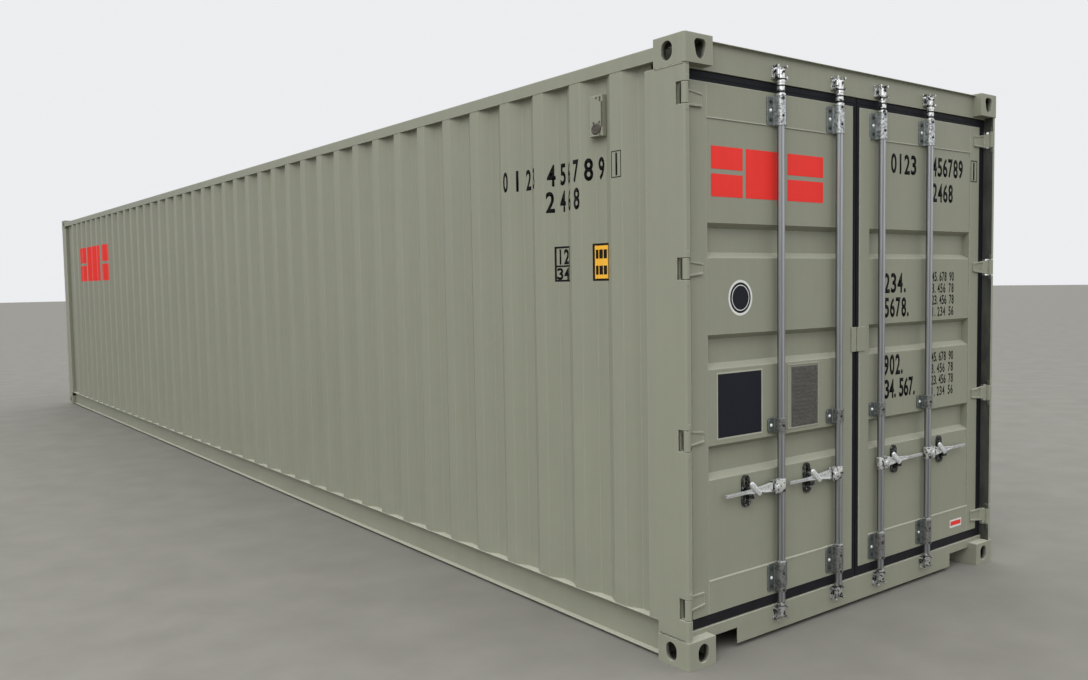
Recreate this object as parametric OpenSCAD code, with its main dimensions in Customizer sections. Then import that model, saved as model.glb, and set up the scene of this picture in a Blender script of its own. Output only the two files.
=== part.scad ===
// Forty-foot dry freight container with two door leaves, four lock bars and four lock handles.
// The origin is at the middle of the footprint, on the ground. X is the width, Y the length
// and Z the height. The door end is at the low end of Y, and left and right are as seen there.

/* [Overall size] */
// Length over the corner fittings
length = 12192; // [6058:1:12192]
// Width over the corner fittings
width = 2438; // [2400:1:2500]
// Height over the corner fittings
height = 2591; // [2438:1:2896]
// How far posts and rails stay inside the faces of the corner fittings
skin = 3; // [2:0.5:6]

/* [Corner fittings] */
// Size of a fitting along the container
fitting_l = 178; // [170:1:190]
// Size of a fitting across the container
fitting_w = 162; // [156:1:175]
// Height of a fitting
fitting_h = 118; // [112:1:125]
// Thickness of the walls with openings
fitting_wall = 28; // [20:1:32]
// Thickness of the walls welded to posts and rails
fitting_back = 14; // [8:1:20]
// Radius of the upright outer edge
fitting_round = 12; // [4:1:20]
// Breadth of every opening in a fitting
hole_w = 63.5; // [55:0.5:65]
// Length of the slot in the top or bottom face
slot_l = 124.5; // [110:0.5:125]
// Height of the openings in the upright faces
hole_h = 79.5; // [70:0.5:80]
// Breadth of the shield-shaped opening in the end face of a top fitting
shield_w = 68; // [60:0.5:78]
// Middle of the openings from the end of the container
hole_y = 101.5; // [95:0.5:105]
// Middle of the openings from the side of the container
hole_x = 89; // [85:0.5:92]

/* [Posts] */
// Size of a post along the side of the container
post_l = 232; // [190:1:260]
// How far a post reaches inwards from the side of the container
post_in = 49; // [45:1:60]
// Thickness of the pressed part of a post
post_t = 6; // [4:0.5:8]
// Breadth of the end face of a door post
post_edge = 26.5; // [20:0.5:30]
// End face of a door post behind the end of the container
post_face = 5; // [3:0.5:6]
// Radius of the outer corner of a door post
post_round = 10; // [4:1:12]
// Depth of the edge of a door post, with the wall behind it
jbar_l = 113; // [105:1:125]
// Thickness of the rolled bar beside the leaves
jbar_t = 12; // [8:0.5:14]
// Breadth of the end face of a front post
front_post_w = 162; // [156:1:200]
// Returned lip of a front post
front_post_lip = 52; // [40:1:60]

/* [Rails and floor] */
// Breadth and height of a top side rail
top_rail = 56; // [50:1:70]
// Wall of a top side rail
top_rail_t = 3; // [2.5:0.5:6]
// Top of a top side rail below the top of the fittings
top_rail_drop = 30; // [28:1:45]
// Height of a bottom side rail
bottom_rail_h = 162; // [150:1:170]
// Upper flange of a bottom side rail
rail_top_flange = 48; // [46:1:52]
// Lower flange of a bottom side rail
rail_low_flange = 30; // [20:1:40]
// Thickness of a bottom side rail
bottom_rail_t = 4.5; // [3:0.5:6]
// Underside of the rails above the underside of the fittings
rail_clear = 12.5; // [11:0.5:17]
// Thickness of the floor boards
floor_t = 28; // [20:1:30]
// Top of the floor below the top of the bottom side rail
floor_drop = 2.5; // [0:0.5:6]
// Breadth of the rail between the floor boards
floor_rail_w = 50; // [40:1:80]
// Height of a cross member
cross_h = 122; // [110:1:125]
// Upper and lower flange of a cross member
cross_flange = 45; // [35:1:50]
// Thickness of a cross member
cross_t = 4; // [3:0.5:5]
// Spacing of the cross members
cross_pitch = 405; // [300:1:600]
// Depth of the header and the sill of the front end
front_rail_w = 60; // [50:1:70]
// Breadth of the tunnel under the front end
tunnel_w = 1029; // [900:1:1130]
// Clear height of the tunnel
tunnel_h = 120; // [110:1:122]
// Length of the tunnel
tunnel_l = 3315; // [1500:1:3500]

/* [Walls and roof] */
// Thickness of the wall sheets
sheet_t = 2; // [1.6:0.1:3]
// Depth of the side corrugations
wall_depth = 36; // [30:1:38]
// Outer flat of a side corrugation
wall_outer = 72; // [60:1:80]
// Inner flat of a side corrugation
wall_inner = 70; // [60:1:80]
// Run of each slope of a side corrugation
wall_slope = 68; // [50:1:70]
// Inner flat between the door post and the first slope
wall_first = 81; // [50:1:100]
// Outer face of a side wall inside the face of the fittings
wall_inset = 5; // [4:0.5:8]
// Depth of the front corrugations
front_depth = 45.6; // [30:0.1:46]
// Outer flat of a front corrugation
front_outer = 110; // [90:1:120]
// Inner flat of a front corrugation
front_inner = 104; // [90:1:120]
// Run of each slope of a front corrugation
front_slope = 18; // [15:1:30]
// Thickness of the roof sheet
roof_t = 2; // [1.6:0.1:3]
// Height of the roof ribs
roof_depth = 20; // [10:1:22]
// Spacing of the roof ribs
roof_pitch = 209; // [180:1:240]
// Flat top of a roof rib
roof_rib = 91; // [70:1:110]
// Run of each slope of a roof rib
roof_slope = 13.5; // [8:0.5:20]
// Flat margin of the roof beside the ribs
roof_margin = 80; // [60:1:150]

/* [Door frame] */
// Face of the header and the sill behind the end of the container
frame_face = 50; // [44:1:56]
// Height of the header face
header_h = 118; // [100:1:125]
// Top of the header below the top of the fittings
header_drop = 8; // [5:1:20]
// How far the edge along the top of the header stands out over its face
drip = 16; // [5:1:20]
// Thickness of that edge
drip_t = 3; // [2:0.5:5]
// Depth of the lip of the header behind the leaves
header_lip = 13; // [8:1:20]
// Sheet of the header and the sill
frame_t = 4; // [3:0.5:6]
// Height of the sill face
sill_h = 117; // [100:1:125]
// Underside of the sill above the ground
sill_clear = 21; // [15:1:30]
// Breadth of the cut-outs in the sill beside the fittings
sill_cut_w = 192; // [150:1:220]
// Top of the cut-outs above the underside of the sill
sill_cut_h = 71; // [50:1:80]

/* [Door leaves] */
// Face of a leaf behind the end of the container
leaf_face = 52; // [50:0.5:54]
// Thickness of a leaf
leaf_t = 50; // [44:0.5:50]
// Hinge edge of a leaf from the side of the container
leaf_edge = 79; // [75:1:90]
// Free edge of a leaf from the middle of the door
leaf_gap = 25; // [20:1:30]
// Gap between the leaves and the header
leaf_top_gap = 45; // [35:1:50]
// Gap between the leaves and the sill
leaf_low_gap = 50; // [40:1:55]
// Breadth of the stile at the hinges
stile_w = 100; // [80:1:110]
// Breadth of the stile at the middle of the door
free_stile_w = 80; // [60:1:90]
// Height of the upper and lower rail of a leaf
leaf_rail_h = 140; // [120:1:160]
// Wall of the stiles and rails
leaf_tube_t = 3.2; // [2.5:0.1:5]
// Radius of the outer front corner of the stiles
stile_round = 8; // [2:1:8]
// Face of the panel of a leaf behind the face of its stiles
panel_in = 3; // [1:0.5:5]
// Depth of the recesses in a leaf
recess_depth = 36; // [25:1:38]
// Height of a recess over its slopes
recess_h = 146; // [120:1:170]
// Height of each slope of a recess
recess_slope = 22; // [15:1:30]
// Spacing of the recesses
recess_pitch = 469; // [420:1:480]
// Thickness of the gasket fins
gasket_t = 6; // [4:0.5:8]
// Front fin of the gasket behind the face of the leaf
gasket_in = 3; // [2:1:8]
// Gap between the gasket and the frame
gasket_clear = 5; // [5:0.5:8]
// Half of the gap between the gaskets at the middle of the door
gasket_gap = 4; // [3:0.5:6]

/* [Hinges] */
// Middle of a hinge pin from the side and from the end of the container
pin_in = 18; // [18:0.5:20]
// Radius of a hinge pin
pin_r = 6.35; // [5:0.05:7]
// Radial clearance of a pin, a bar or a pivot in its bore
fit = 0.05; // [0.02:0.01:0.1]
// Radius of a hinge knuckle
knuckle_r = 15; // [13:0.5:15]
// Height of a hinge knuckle
knuckle_h = 84; // [76:1:100]
// Gap above and below a knuckle
knuckle_gap = 3; // [1:0.5:4]
// Height of a hinge lug on the post
lug_h = 24; // [15:1:30]
// Depth of the hinge cut-out in the post
hinge_cut = 55; // [50:1:58]
// Thickness of the ribs along the edges of a hinge blade
blade_t = 10; // [8:0.5:10]
// Breadth of the ribs of a hinge blade
blade_rib = 8; // [5:0.5:10]
// Thickness of a hinge blade between its ribs
blade_plate = 6; // [4:0.5:7]
// Thickness of the web between a knuckle and its blade
hinge_web = 8; // [6:0.5:10]
// Start of a blade before the edge of its leaf
blade_root = 36; // [30:1:40]
// How far a blade reaches over its leaf
blade_reach = 66; // [40:1:90]
// Height of a middle blade at its root
blade_root_h = 68; // [60:1:76]
// Height of a middle blade at its tip
blade_tip_h = 46; // [40:1:60]
// Slanted edge of an end blade inside the end of its knuckle, at the root
blade_cut_root = 16; // [5:1:25]
// Slanted edge of an end blade inside the end of its knuckle, at the tip
blade_cut_tip = 28; // [10:1:35]
// Middle of the end hinges from the end of the leaf
hinge_margin = 65; // [60:1:100]

/* [Lock bars] */
// Distance of the inner lock bars from the middle of the door
bar_inner = 172; // [160:1:180]
// Spacing of the two lock bars on a leaf
bar_pitch = 424; // [400:1:430]
// Middle of a lock bar behind the end of the container
bar_in = 26; // [25:0.5:27]
// Radius of a lock bar
bar_r = 17; // [15:0.5:17]
// Wall of a lock bar
bar_t = 4; // [3:0.5:5]
// Reach of the beak of a cam from the middle of its bar
beak_reach = 24; // [22:0.5:24]
// Height of a cam head
cam_h = 24; // [18:1:26]
// Middle of the upper cams above the underside of the header
cam_top = 43; // [38:1:50]
// Middle of the lower cams above the underside of the sill
cam_low = 82; // [78:1:84]
// Half width of a cam keeper
keeper_w = 34; // [34:0.5:50]
// Half height of a cam keeper
keeper_h = 30; // [30:0.5:35]
// Face of a keeper behind the end of the container
keeper_in = 13; // [6:0.5:16]
// Radius of each of the four ears of a keeper
ear_r = 6; // [5:0.5:6]
// Breadth of the end brackets of a bar
bracket_w = 134; // [110:1:145]
// Height of the end brackets of a bar
bracket_h = 125; // [110:1:150]
// Height of the middle brackets of a bar
guide_h = 66; // [50:1:90]
// Breadth of the middle brackets of a bar
guide_w = 124; // [100:1:126]
// Middle of the end brackets from the end of the leaf
bracket_margin = 80; // [75:1:100]
// Middle of the middle brackets above the ground
guide_z = 957; // [930:1:1000]
// Plate of a bracket
bracket_t = 5; // [3:0.5:6]
// Radius of the corners of a bracket
bracket_round = 14; // [5:1:20]
// Radius of the saddle of a bracket around its bar
saddle_r = 22; // [20:0.5:24]
// How far the collars above the brackets stand out of their bar
collar = 4; // [2:0.5:4]
// How far the collars beside the cams stand out of their bar
cam_collar = 2; // [1:0.5:2]
// Height of a collar
collar_h = 8; // [5:1:12]
// Gap between a bracket and the collar above it
collar_gap = 3; // [2:0.5:5]
// Middle of a collar from the middle of its cam
cam_collar_z = 42; // [42:1:50]

/* [Lock handles] */
// Height of the handles above the ground
handle_z = 686; // [650:1:720]
// End of a handle from the middle of its bar
handle_l = 365; // [300:1:380]
// Thickness of a handle
handle_t = 12; // [8:0.5:12]
// Greatest height of a handle
handle_h = 42; // [24:1:44]
// Place of the greatest height from the pivot
handle_swell = 32; // [25:1:45]
// Neck of a handle from the middle of its bar
handle_neck = 125; // [100:1:140]
// Height of a handle at its neck
handle_neck_h = 30; // [20:1:32]
// Start of the narrow grip from the middle of its bar
handle_grip = 240; // [220:1:280]
// Height of the grip
handle_grip_h = 14; // [10:1:18]
// Depth of the groove in the front of a handle
handle_groove = 3; // [1:0.5:4]
// Edge left beside the groove
handle_rim = 7; // [4:1:9]
// Pivot of a handle from the middle of its bar
pivot_x = 38; // [36:1:42]
// Radius of a handle pivot
pivot_r = 6; // [4:0.5:7]
// Radius of the eye of a handle
eye_r = 13; // [11:0.5:14]
// Reach of a hub from the middle of its bar
hub_l = 58; // [56:1:64]
// Height of a hub
hub_h = 58; // [40:1:70]
// Thickness of each cheek of a hub
hub_t = 6; // [4:0.5:6]
// Gap between a handle and each cheek
hub_gap = 1; // [0.5:0.1:1.5]
// How far the sleeve of a hub stands out of its bar
hub_sleeve = 3; // [2:0.5:4]
// Middle of a left catch from its bar
catch_left = 212; // [180:1:250]
// Middle of a right catch from its bar
catch_right = 149; // [110:1:200]
// Height of a catch
catch_h = 142; // [120:1:150]
// Breadth of a catch
catch_w = 48; // [40:1:50]
// Gap between a handle and the seat of its catch
seat_gap = 0.3; // [0.2:0.1:1]
// Height of the seat and of the slant of the stop of a catch
seat_h = 20; // [12:1:24]
// Face of a seat behind the end of the container
seat_in = 14; // [10:1:18]
// Gap between a handle and the stop behind it
stop_gap = 6; // [5:0.5:8]
// Radius of the hook below the seat
hook_r = 20; // [15:1:22]
// Breadth of the metal of the hook
hook_w = 9; // [6:1:12]
// Breadth of the hole in the plate of a catch
catch_hole_w = 16; // [10:1:18]
// Height of the hole in the plate of a catch
catch_hole_h = 44; // [30:1:50]

/* [Fittings on the walls] */
// Height of a ventilator
vent_h = 180; // [120:1:220]
// Breadth of a ventilator
vent_w = 84; // [72:1:90]
// Thickness of a ventilator
vent_t = 28; // [20:1:30]
// Middle of the ventilators below the top of the fittings
vent_drop = 251; // [230:1:300]
// Side corrugation, counted from the post, that carries the ventilator
vent_rib = 1; // [1:1:4]
// Breadth of the data plate
plate_w = 190; // [150:1:200]
// Height of the data plate
plate_h = 275; // [250:1:300]
// Thickness of the data plate
plate_t = 1.5; // [1:0.1:3]
// Middle of the data plate outwards from the middle between the lock bars
plate_out = 8; // [0:1:45]
// Breadth of the left tab over the middle gasket
tab_left_w = 38; // [34:1:50]
// Breadth of the right tab over the middle gasket
tab_right_w = 66; // [40:1:75]
// Height of the tabs over the middle gasket
tab_h = 118; // [80:1:130]
// Thickness of the tabs
tab_t = 5; // [3:0.5:6]
// Middle of the tabs above the ground
tab_z = 1310; // [1290:1:1320]

/* [Hidden] */

$fn = 48;
// A cut reaches this far past the face it opens
over = 1;

paint = [0.54, 0.545, 0.485];
galvanized = [0.68, 0.71, 0.72];
rubber = [0.1, 0.1, 0.12];
plywood = [0.55, 0.38, 0.24];

// Levels above the ground
rail_top = rail_clear + bottom_rail_h;
floor_top = rail_top - floor_drop;
top_rail_z = height - top_rail_drop - top_rail;
roof_z = top_rail_z + top_rail;
sill_top = sill_clear + sill_h;
header_z = height - header_drop - header_h;
leaf_low = sill_top + leaf_low_gap;
leaf_high = header_z - leaf_top_gap;
leaf_h = leaf_high - leaf_low;
leaf_w = width / 2 - leaf_edge - leaf_gap;
cam_low_z = sill_clear + cam_low;
cam_top_z = header_z + cam_top;

// Places measured from the side and from the end of the container
post_box = skin + jbar_l - jbar_t;
post_edge_x = skin + post_edge;
gasket_fin = leaf_edge - post_edge_x - gasket_clear;
slot_h = knuckle_h + 2 * knuckle_gap;
hinge_pitch = (leaf_h - 2 * hinge_margin) / 3;
bar_outer = bar_inner + bar_pitch;
web_x = skin + rail_top_flange;
front_x = max(fitting_w, front_post_w) - width / 2;
hub_gap_y = handle_t / 2 + hub_gap;
vent_y = post_l + wall_first + vent_rib * (wall_outer + 2 * wall_slope) + (vent_rib - 0.5) * wall_inner;

// Moves a shape drawn from the left door corner to its place
module at_corner() {
    translate([-width / 2, -length / 2, 0]) children();
}

// Keeps a shape and adds its mirror image across the middle of the width
module each_side() {
    children();
    mirror([1, 0, 0]) children();
}

// Keeps a shape and adds its mirror image across the middle of the length
module each_end() {
    children();
    mirror([0, 1, 0]) children();
}

// Mirrors a left-hand shape when a right-hand one is wanted
module hand(right) {
    mirror([right ? 1 : 0, 0, 0]) children();
}

// Extrudes a drawing of Y and Z along X
module along_x(x0, x1) {
    translate([x0, 0, 0]) rotate([90, 0, 90]) linear_extrude(x1 - x0) children();
}

// Extrudes a drawing of X and Z along Y
module along_y(y0, y1) {
    translate([0, y1, 0]) rotate([90, 0, 0]) linear_extrude(y1 - y0) children();
}

// Upright opening with round ends
module oval(w, h) {
    square([w, h - w], center = true);
    for (s = [-1, 1]) translate([0, s * (h - w) / 2]) circle(w / 2);
}

// Upright opening that is a little narrower at the bottom than at the top
module shield(w, h) {
    corner = w * 0.3;
    tip = w * 0.37;
    hull() {
        for (s = [-1, 1]) translate([s * (w / 2 - corner), h / 2 - corner]) circle(corner, $fn = 32);
        translate([0, tip - h / 2]) circle(tip, $fn = 32);
    }
}

// Corner fitting drawn from its outer corner, with the slotted face down
module corner_fitting(shielded) {
    mid_z = fitting_h / 2;
    difference() {
        linear_extrude(fitting_h) union() {
            translate([fitting_round, 0]) square([fitting_w - fitting_round, fitting_l]);
            translate([0, fitting_round]) square([fitting_w, fitting_l - fitting_round]);
            translate([fitting_round, fitting_round]) circle(fitting_round);
        }
        translate([fitting_wall, fitting_wall, fitting_wall])
            cube([fitting_w - fitting_wall - fitting_back, fitting_l - fitting_wall - fitting_back,
                  fitting_h - fitting_wall - fitting_back]);
        translate([hole_x, hole_y, -over]) linear_extrude(fitting_wall + 2 * over) intersection() {
            circle(slot_l / 2);
            square([hole_w, slot_l], center = true);
        }
        translate([-over, hole_y, mid_z]) rotate([90, 0, 90])
            linear_extrude(fitting_wall + 2 * over) oval(hole_w, hole_h);
        translate([hole_x, fitting_wall + over, mid_z]) rotate([90, 0, 0])
            linear_extrude(fitting_wall + 2 * over)
                if (shielded) mirror([0, 1]) shield(shield_w, hole_h); else oval(hole_w, hole_h);
    }
}

module bottom_fittings() {
    color(paint) each_side() each_end() at_corner() corner_fitting(false);
}

module top_fittings() {
    color(paint) each_side() each_end() at_corner() translate([0, 0, height])
        mirror([0, 0, 1]) corner_fitting(true);
}

// Upright beside the wall, whole between the rails and narrower between the fittings
module post_shape() {
    intersection() {
        translate([0, 0, fitting_h]) linear_extrude(height - 2 * fitting_h) children();
        union() {
            cube([width, fitting_l, height]);
            translate([0, 0, rail_top]) cube([width, post_l, top_rail_z - rail_top]);
        }
    }
}

// Hollow edge beside the leaves, with the pressed box behind it
module rear_post_plan() {
    r = post_round;
    edge_l = post_box - post_face;
    difference() {
        union() {
            translate([skin + r, post_face]) square([post_edge - r, edge_l]);
            translate([skin, post_face + r]) square([post_edge, edge_l - r]);
            translate([skin + r, post_face + r]) circle(r);
        }
        translate([skin + post_t, post_face + jbar_t]) square([post_edge - post_t - jbar_t, edge_l - jbar_t]);
    }
    difference() {
        translate([skin, post_box]) square([post_in - skin, post_l - post_box]);
        translate([skin + post_t, post_box + jbar_t])
            square([post_in - skin - 2 * post_t, post_l - post_box - jbar_t - post_t]);
    }
}

// Puts its children at the middle of one hinge, counted from the lowest, on the axis of the pins
module at_hinge(i) {
    translate([pin_in, pin_in, leaf_low + hinge_margin + i * hinge_pitch]) children();
}

module at_hinges() {
    for (i = [0:3]) at_hinge(i) children();
}

module rear_post() {
    difference() {
        union() {
            post_shape() rear_post_plan();
            at_hinges() for (s = [-1, 1]) translate([0, 0, s * (slot_h + lug_h) / 2])
                cylinder(lug_h, r = knuckle_r, center = true);
        }
        at_hinges() {
            cylinder(slot_h + 3 * lug_h, r = pin_r + fit, center = true);
            translate([-pin_in, -pin_in, -slot_h / 2]) cube([post_edge_x + over, hinge_cut, slot_h]);
        }
    }
}

module rear_post_left() {
    color(paint) at_corner() rear_post();
}

module rear_post_right() {
    color(paint) hand(true) at_corner() rear_post();
}

module hinge_pins() {
    color(galvanized) each_side() at_corner() at_hinges()
        cylinder(slot_h + 2 * lug_h, r = pin_r, center = true);
}

// Pressed open section, drawn from the corner of the front end
module front_post_plan() {
    translate([skin, skin]) square([post_t, post_l - skin]);
    translate([skin, skin]) square([front_post_w - skin, post_t]);
    translate([skin, post_l - post_t]) square([front_post_lip - skin, post_t]);
    translate([front_post_w - post_t, skin]) square([post_t, front_post_lip - skin]);
}

module front_post_left() {
    color(paint) mirror([0, 1, 0]) at_corner() post_shape() front_post_plan();
}

module front_post_right() {
    color(paint) mirror([0, 1, 0]) hand(true) at_corner() post_shape() front_post_plan();
}

// Corner points of a corrugated sheet that runs along the first axis, its outer flats at zero
function ribs(first, outer, slope, inner, count) = [
    for (i = [0:count - 1]) let (at = first + i * (outer + inner + 2 * slope))
        for (p = [[at, 1], [at + slope, 0], [at + slope + outer, 0], [at + 2 * slope + outer, 1]]) p
];

// Corrugated sheet between 0 and run, with inner flats at both ends
module corrugated(run, first, outer, slope, inner, depth, t) {
    count = floor((run - first) / (outer + inner + 2 * slope) + 1e-6);
    turn = t * tan(atan2(depth, slope) / 2);
    path = ribs(first, outer, slope, inner, count);
    polygon(concat(
        [[0, depth]], [for (p = path) [p[0], p[1] * depth]], [[run, depth], [run, depth + t]],
        [for (i = [len(path) - 1:-1:0]) let (p = path[i], s = (i % 4 < 2) ? 1 : -1)
            [p[0] + s * turn, p[1] * depth + t]],
        [[0, depth + t]]));
}

module side_wall() {
    run = length - 2 * post_l;
    color(paint) translate([-width / 2 + wall_inset, -length / 2 + post_l, rail_top])
        linear_extrude(top_rail_z - rail_top) mirror([1, -1])
            corrugated(run, wall_first, wall_outer, wall_slope, wall_inner, wall_depth, sheet_t);
}

module side_wall_left() {
    side_wall();
}

module side_wall_right() {
    hand(true) side_wall();
}

module front_wall() {
    run = width - 2 * front_post_w;
    pitch = front_outer + front_inner + 2 * front_slope;
    count = floor(run / pitch);
    first = (run - count * pitch + front_inner) / 2;
    color(paint) translate([-run / 2, length / 2 - wall_inset, rail_top])
        linear_extrude(top_rail_z - rail_top) mirror([0, 1])
            corrugated(run, first, front_outer, front_slope, front_inner, front_depth, sheet_t);
}

// Hollow rail between the fittings, drawn on the left
module top_rail() {
    color(paint) at_corner() along_y(fitting_l, length - fitting_l) difference() {
        translate([skin, top_rail_z]) square(top_rail);
        translate([skin + top_rail_t, top_rail_z + top_rail_t]) square(top_rail - 2 * top_rail_t);
    }
}

module top_rail_left() {
    top_rail();
}

module top_rail_right() {
    hand(true) top_rail();
}

// Channel that opens outwards, drawn on the left
module bottom_rail() {
    t = bottom_rail_t;
    color(paint) at_corner() along_y(fitting_l, length - fitting_l) union() {
        translate([web_x - t, rail_clear]) square([t, bottom_rail_h]);
        translate([skin, rail_top - t]) square([rail_top_flange, t]);
        translate([web_x - rail_low_flange, rail_clear]) square([rail_low_flange, t]);
    }
}

module bottom_rail_left() {
    bottom_rail();
}

module bottom_rail_right() {
    hand(true) bottom_rail();
}

// Sill with a step that stops the leaves, carried over the lower fittings to the posts
module door_sill() {
    t = frame_t;
    step = post_box;
    color(paint) difference() {
        union() {
            along_x(fitting_w - width / 2, width / 2 - fitting_w) translate([-length / 2, 0]) difference() {
                union() {
                    translate([frame_face, sill_clear]) square([fitting_l - frame_face, sill_h]);
                    translate([step, sill_clear]) square([fitting_l - step, floor_top - sill_clear]);
                }
                translate([frame_face + t, sill_clear - over])
                    square([fitting_l - frame_face - 2 * t, sill_h - t + over]);
                translate([step + t, sill_clear])
                    square([fitting_l - step - 2 * t, floor_top - sill_clear - t]);
            }
            each_side() at_corner() {
                translate([post_edge_x, frame_face, fitting_h])
                    cube([fitting_w - post_edge_x, step - frame_face, sill_top - fitting_h]);
                translate([post_in, step, fitting_h])
                    cube([fitting_w - post_in, fitting_l - step, floor_top - fitting_h]);
            }
        }
        each_side() translate([fitting_w - width / 2 - over, -length / 2, 0])
            cube([sill_cut_w + over, fitting_l + over, sill_clear + sill_cut_h]);
    }
}

// Header with a lip that stops the leaves, carried under the upper fittings to the posts
module door_header() {
    t = frame_t;
    step = post_box;
    lip_z = header_z - header_lip;
    foot = height - fitting_h;
    color(paint) union() {
        along_x(fitting_w - width / 2, width / 2 - fitting_w) translate([-length / 2, 0]) difference() {
            union() {
                translate([frame_face, header_z]) square([fitting_l - frame_face, header_h]);
                translate([frame_face - drip, header_z + header_h - drip_t]) square([drip + t, drip_t]);
                translate([step, lip_z]) square([fitting_l - step, header_h]);
            }
            translate([frame_face + t, header_z + t])
                square([fitting_l - frame_face - 2 * t, header_h - 2 * t]);
            translate([step + t, lip_z + t]) square([fitting_l - step - 2 * t, header_h - 2 * t]);
        }
        each_side() at_corner() {
            translate([post_edge_x, frame_face, header_z])
                cube([fitting_w - post_edge_x, step - frame_face, foot - header_z]);
            translate([post_in, step, lip_z]) cube([fitting_w - post_in, fitting_l - step, foot - lip_z]);
        }
    }
}

// Hollow rail across the front end, from x0 to x1, with its underside at the given height
module front_rail(x0, x1, z, h, t) {
    along_x(x0, x1) translate([length / 2 - skin - front_rail_w, z]) tube_section(front_rail_w, h, t);
}

module front_header() {
    color(paint) front_rail(front_x, -front_x, top_rail_z, top_rail, top_rail_t);
}

// Sill under the front wall on both sides of the tunnel
module front_sill() {
    color(paint) each_side()
        front_rail(front_x, -tunnel_w / 2 - cross_t, rail_clear, bottom_rail_h, bottom_rail_t);
}

// Sill over the mouth of the tunnel
module tunnel_lintel() {
    low = tunnel_h + cross_t;
    color(paint) front_rail(-tunnel_w / 2 - cross_t, tunnel_w / 2 + cross_t, low, rail_top - low, cross_t);
}

floor_y0 = fitting_l - length / 2;
floor_y1 = length / 2 - skin - front_rail_w;
floor_z = floor_top - floor_t;
floor_x = width / 2 - web_x;
tunnel_y0 = length / 2 - tunnel_l;

module floor_boards() {
    color(plywood) each_side() translate([-floor_x, floor_y0, floor_z])
        cube([floor_x - floor_rail_w / 2, floor_y1 - floor_y0, floor_t]);
}

module floor_centre_rail() {
    t = cross_t;
    color(paint) along_y(floor_y0, floor_y1) difference() {
        translate([-floor_rail_w / 2, floor_z]) square([floor_rail_w, floor_t]);
        translate([t - floor_rail_w / 2, floor_z - over]) square([floor_rail_w - 2 * t, floor_t - t + over]);
    }
}

// Channel section of a cross member, drawn in Y and Z
module cross_section(h) {
    square([cross_t, h]);
    for (z = [0, h - cross_t]) translate([0, z]) square([cross_flange, cross_t]);
}

// Cross members under the floor, cut short beside the tunnel, with a bolster at its inner end
module cross_members() {
    span = floor_y1 - floor_y0;
    count = floor(span / cross_pitch);
    first = floor_y0 + (span - (count - 1) * cross_pitch) / 2;
    color(paint) {
        for (i = [0:count - 1]) let (y = first + i * cross_pitch) {
            if (y + cross_flange < tunnel_y0 - cross_flange)
                along_x(-floor_x, floor_x) translate([y, floor_z - cross_h]) cross_section(cross_h);
            else if (y > tunnel_y0)
                each_side() along_x(-floor_x, -tunnel_w / 2 - cross_t)
                    translate([y, floor_z - cross_h]) cross_section(cross_h);
        }
        along_x(-floor_x, floor_x) translate([tunnel_y0, floor_z - cross_h]) mirror([1, 0])
            cross_section(cross_h);
    }
}

// Plate over the tunnel, carried by ribs under the floor
module gooseneck_tunnel() {
    top = tunnel_h + cross_t;
    color(paint) {
        translate([-tunnel_w / 2, tunnel_y0, tunnel_h])
            cube([tunnel_w, length / 2 - skin - tunnel_y0, cross_t]);
        for (y = [tunnel_y0 + cross_pitch:cross_pitch:floor_y1])
            translate([-tunnel_w / 2, y - cross_flange, top]) cube([tunnel_w, cross_flange, floor_z - top]);
    }
}

module tunnel_sides() {
    low = floor_z - cross_h;
    color(paint) each_side() translate([-tunnel_w / 2 - cross_t, tunnel_y0, low])
        cube([cross_t, floor_y1 - tunnel_y0, floor_z - low]);
}

// Section of the roof sheet from end to end, its margins at zero
module roof_section(run) {
    pitch = roof_pitch;
    count = floor(run / pitch);
    first = (run - count * pitch + pitch - roof_rib - 2 * roof_slope) / 2;
    translate([0, roof_depth + roof_t]) mirror([0, 1])
        corrugated(run, first, roof_rib, roof_slope, pitch - roof_rib - 2 * roof_slope, roof_depth, roof_t);
}

module roof_panel() {
    run = length - 2 * fitting_l;
    edge = width / 2 - skin - top_rail / 2;
    rib_end = edge - roof_margin;
    color(paint) translate([0, -length / 2 + fitting_l, roof_z]) {
        along_x(-rib_end, rib_end) roof_section(run);
        each_side() {
            translate([-edge, 0, 0]) cube([roof_margin, run, roof_t]);
            along_x(-rib_end, -rib_end + roof_t) hull() roof_section(run);
        }
        translate([fitting_w - width / 2, run, 0])
            cube([width - 2 * fitting_w, fitting_l - skin, roof_t]);
    }
}

module vent_plan() {
    back = wall_inset + wall_depth;
    half = wall_inner / 2;
    cheek = back - (vent_w / 2 - half) * wall_depth / wall_slope - over;
    polygon([[back, over - half], [back, half - over], [cheek, vent_w / 2], [back - vent_t, vent_w / 2],
             [back - vent_t, -vent_w / 2], [cheek, -vent_w / 2]]);
}

module ventilators() {
    color(paint) each_side() at_corner() translate([0, vent_y, height - vent_drop - vent_h / 2])
        linear_extrude(vent_h) vent_plan();
}

// Puts its children at each lock bar of a leaf, at the end of the container
module at_bars() {
    for (x = [bar_inner, bar_outer]) translate([-x, -length / 2, 0]) children();
}

// Keeper of a cam: a plate with four round ears, open to the front
module keeper() {
    along_y(frame_face - frame_t, frame_face)
        square([2 * keeper_w, 2 * keeper_h], center = true);
    along_y(keeper_in, frame_face - frame_t)
        for (sx = [-1, 1], sz = [-1, 1])
            translate([sx * (keeper_w - ear_r), sz * (keeper_h - ear_r)]) circle(ear_r);
}

module header_keepers() {
    color(galvanized) each_side() at_bars() translate([0, 0, cam_top_z]) keeper();
}

module sill_keepers() {
    color(galvanized) each_side() at_bars() translate([0, 0, cam_low_z]) keeper();
}

// Rectangular tube, drawn as width and height from its lower left corner
module tube_section(w, h, t) {
    difference() {
        square([w, h]);
        translate([t, t]) square([w - 2 * t, h - 2 * t]);
    }
}

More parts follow.
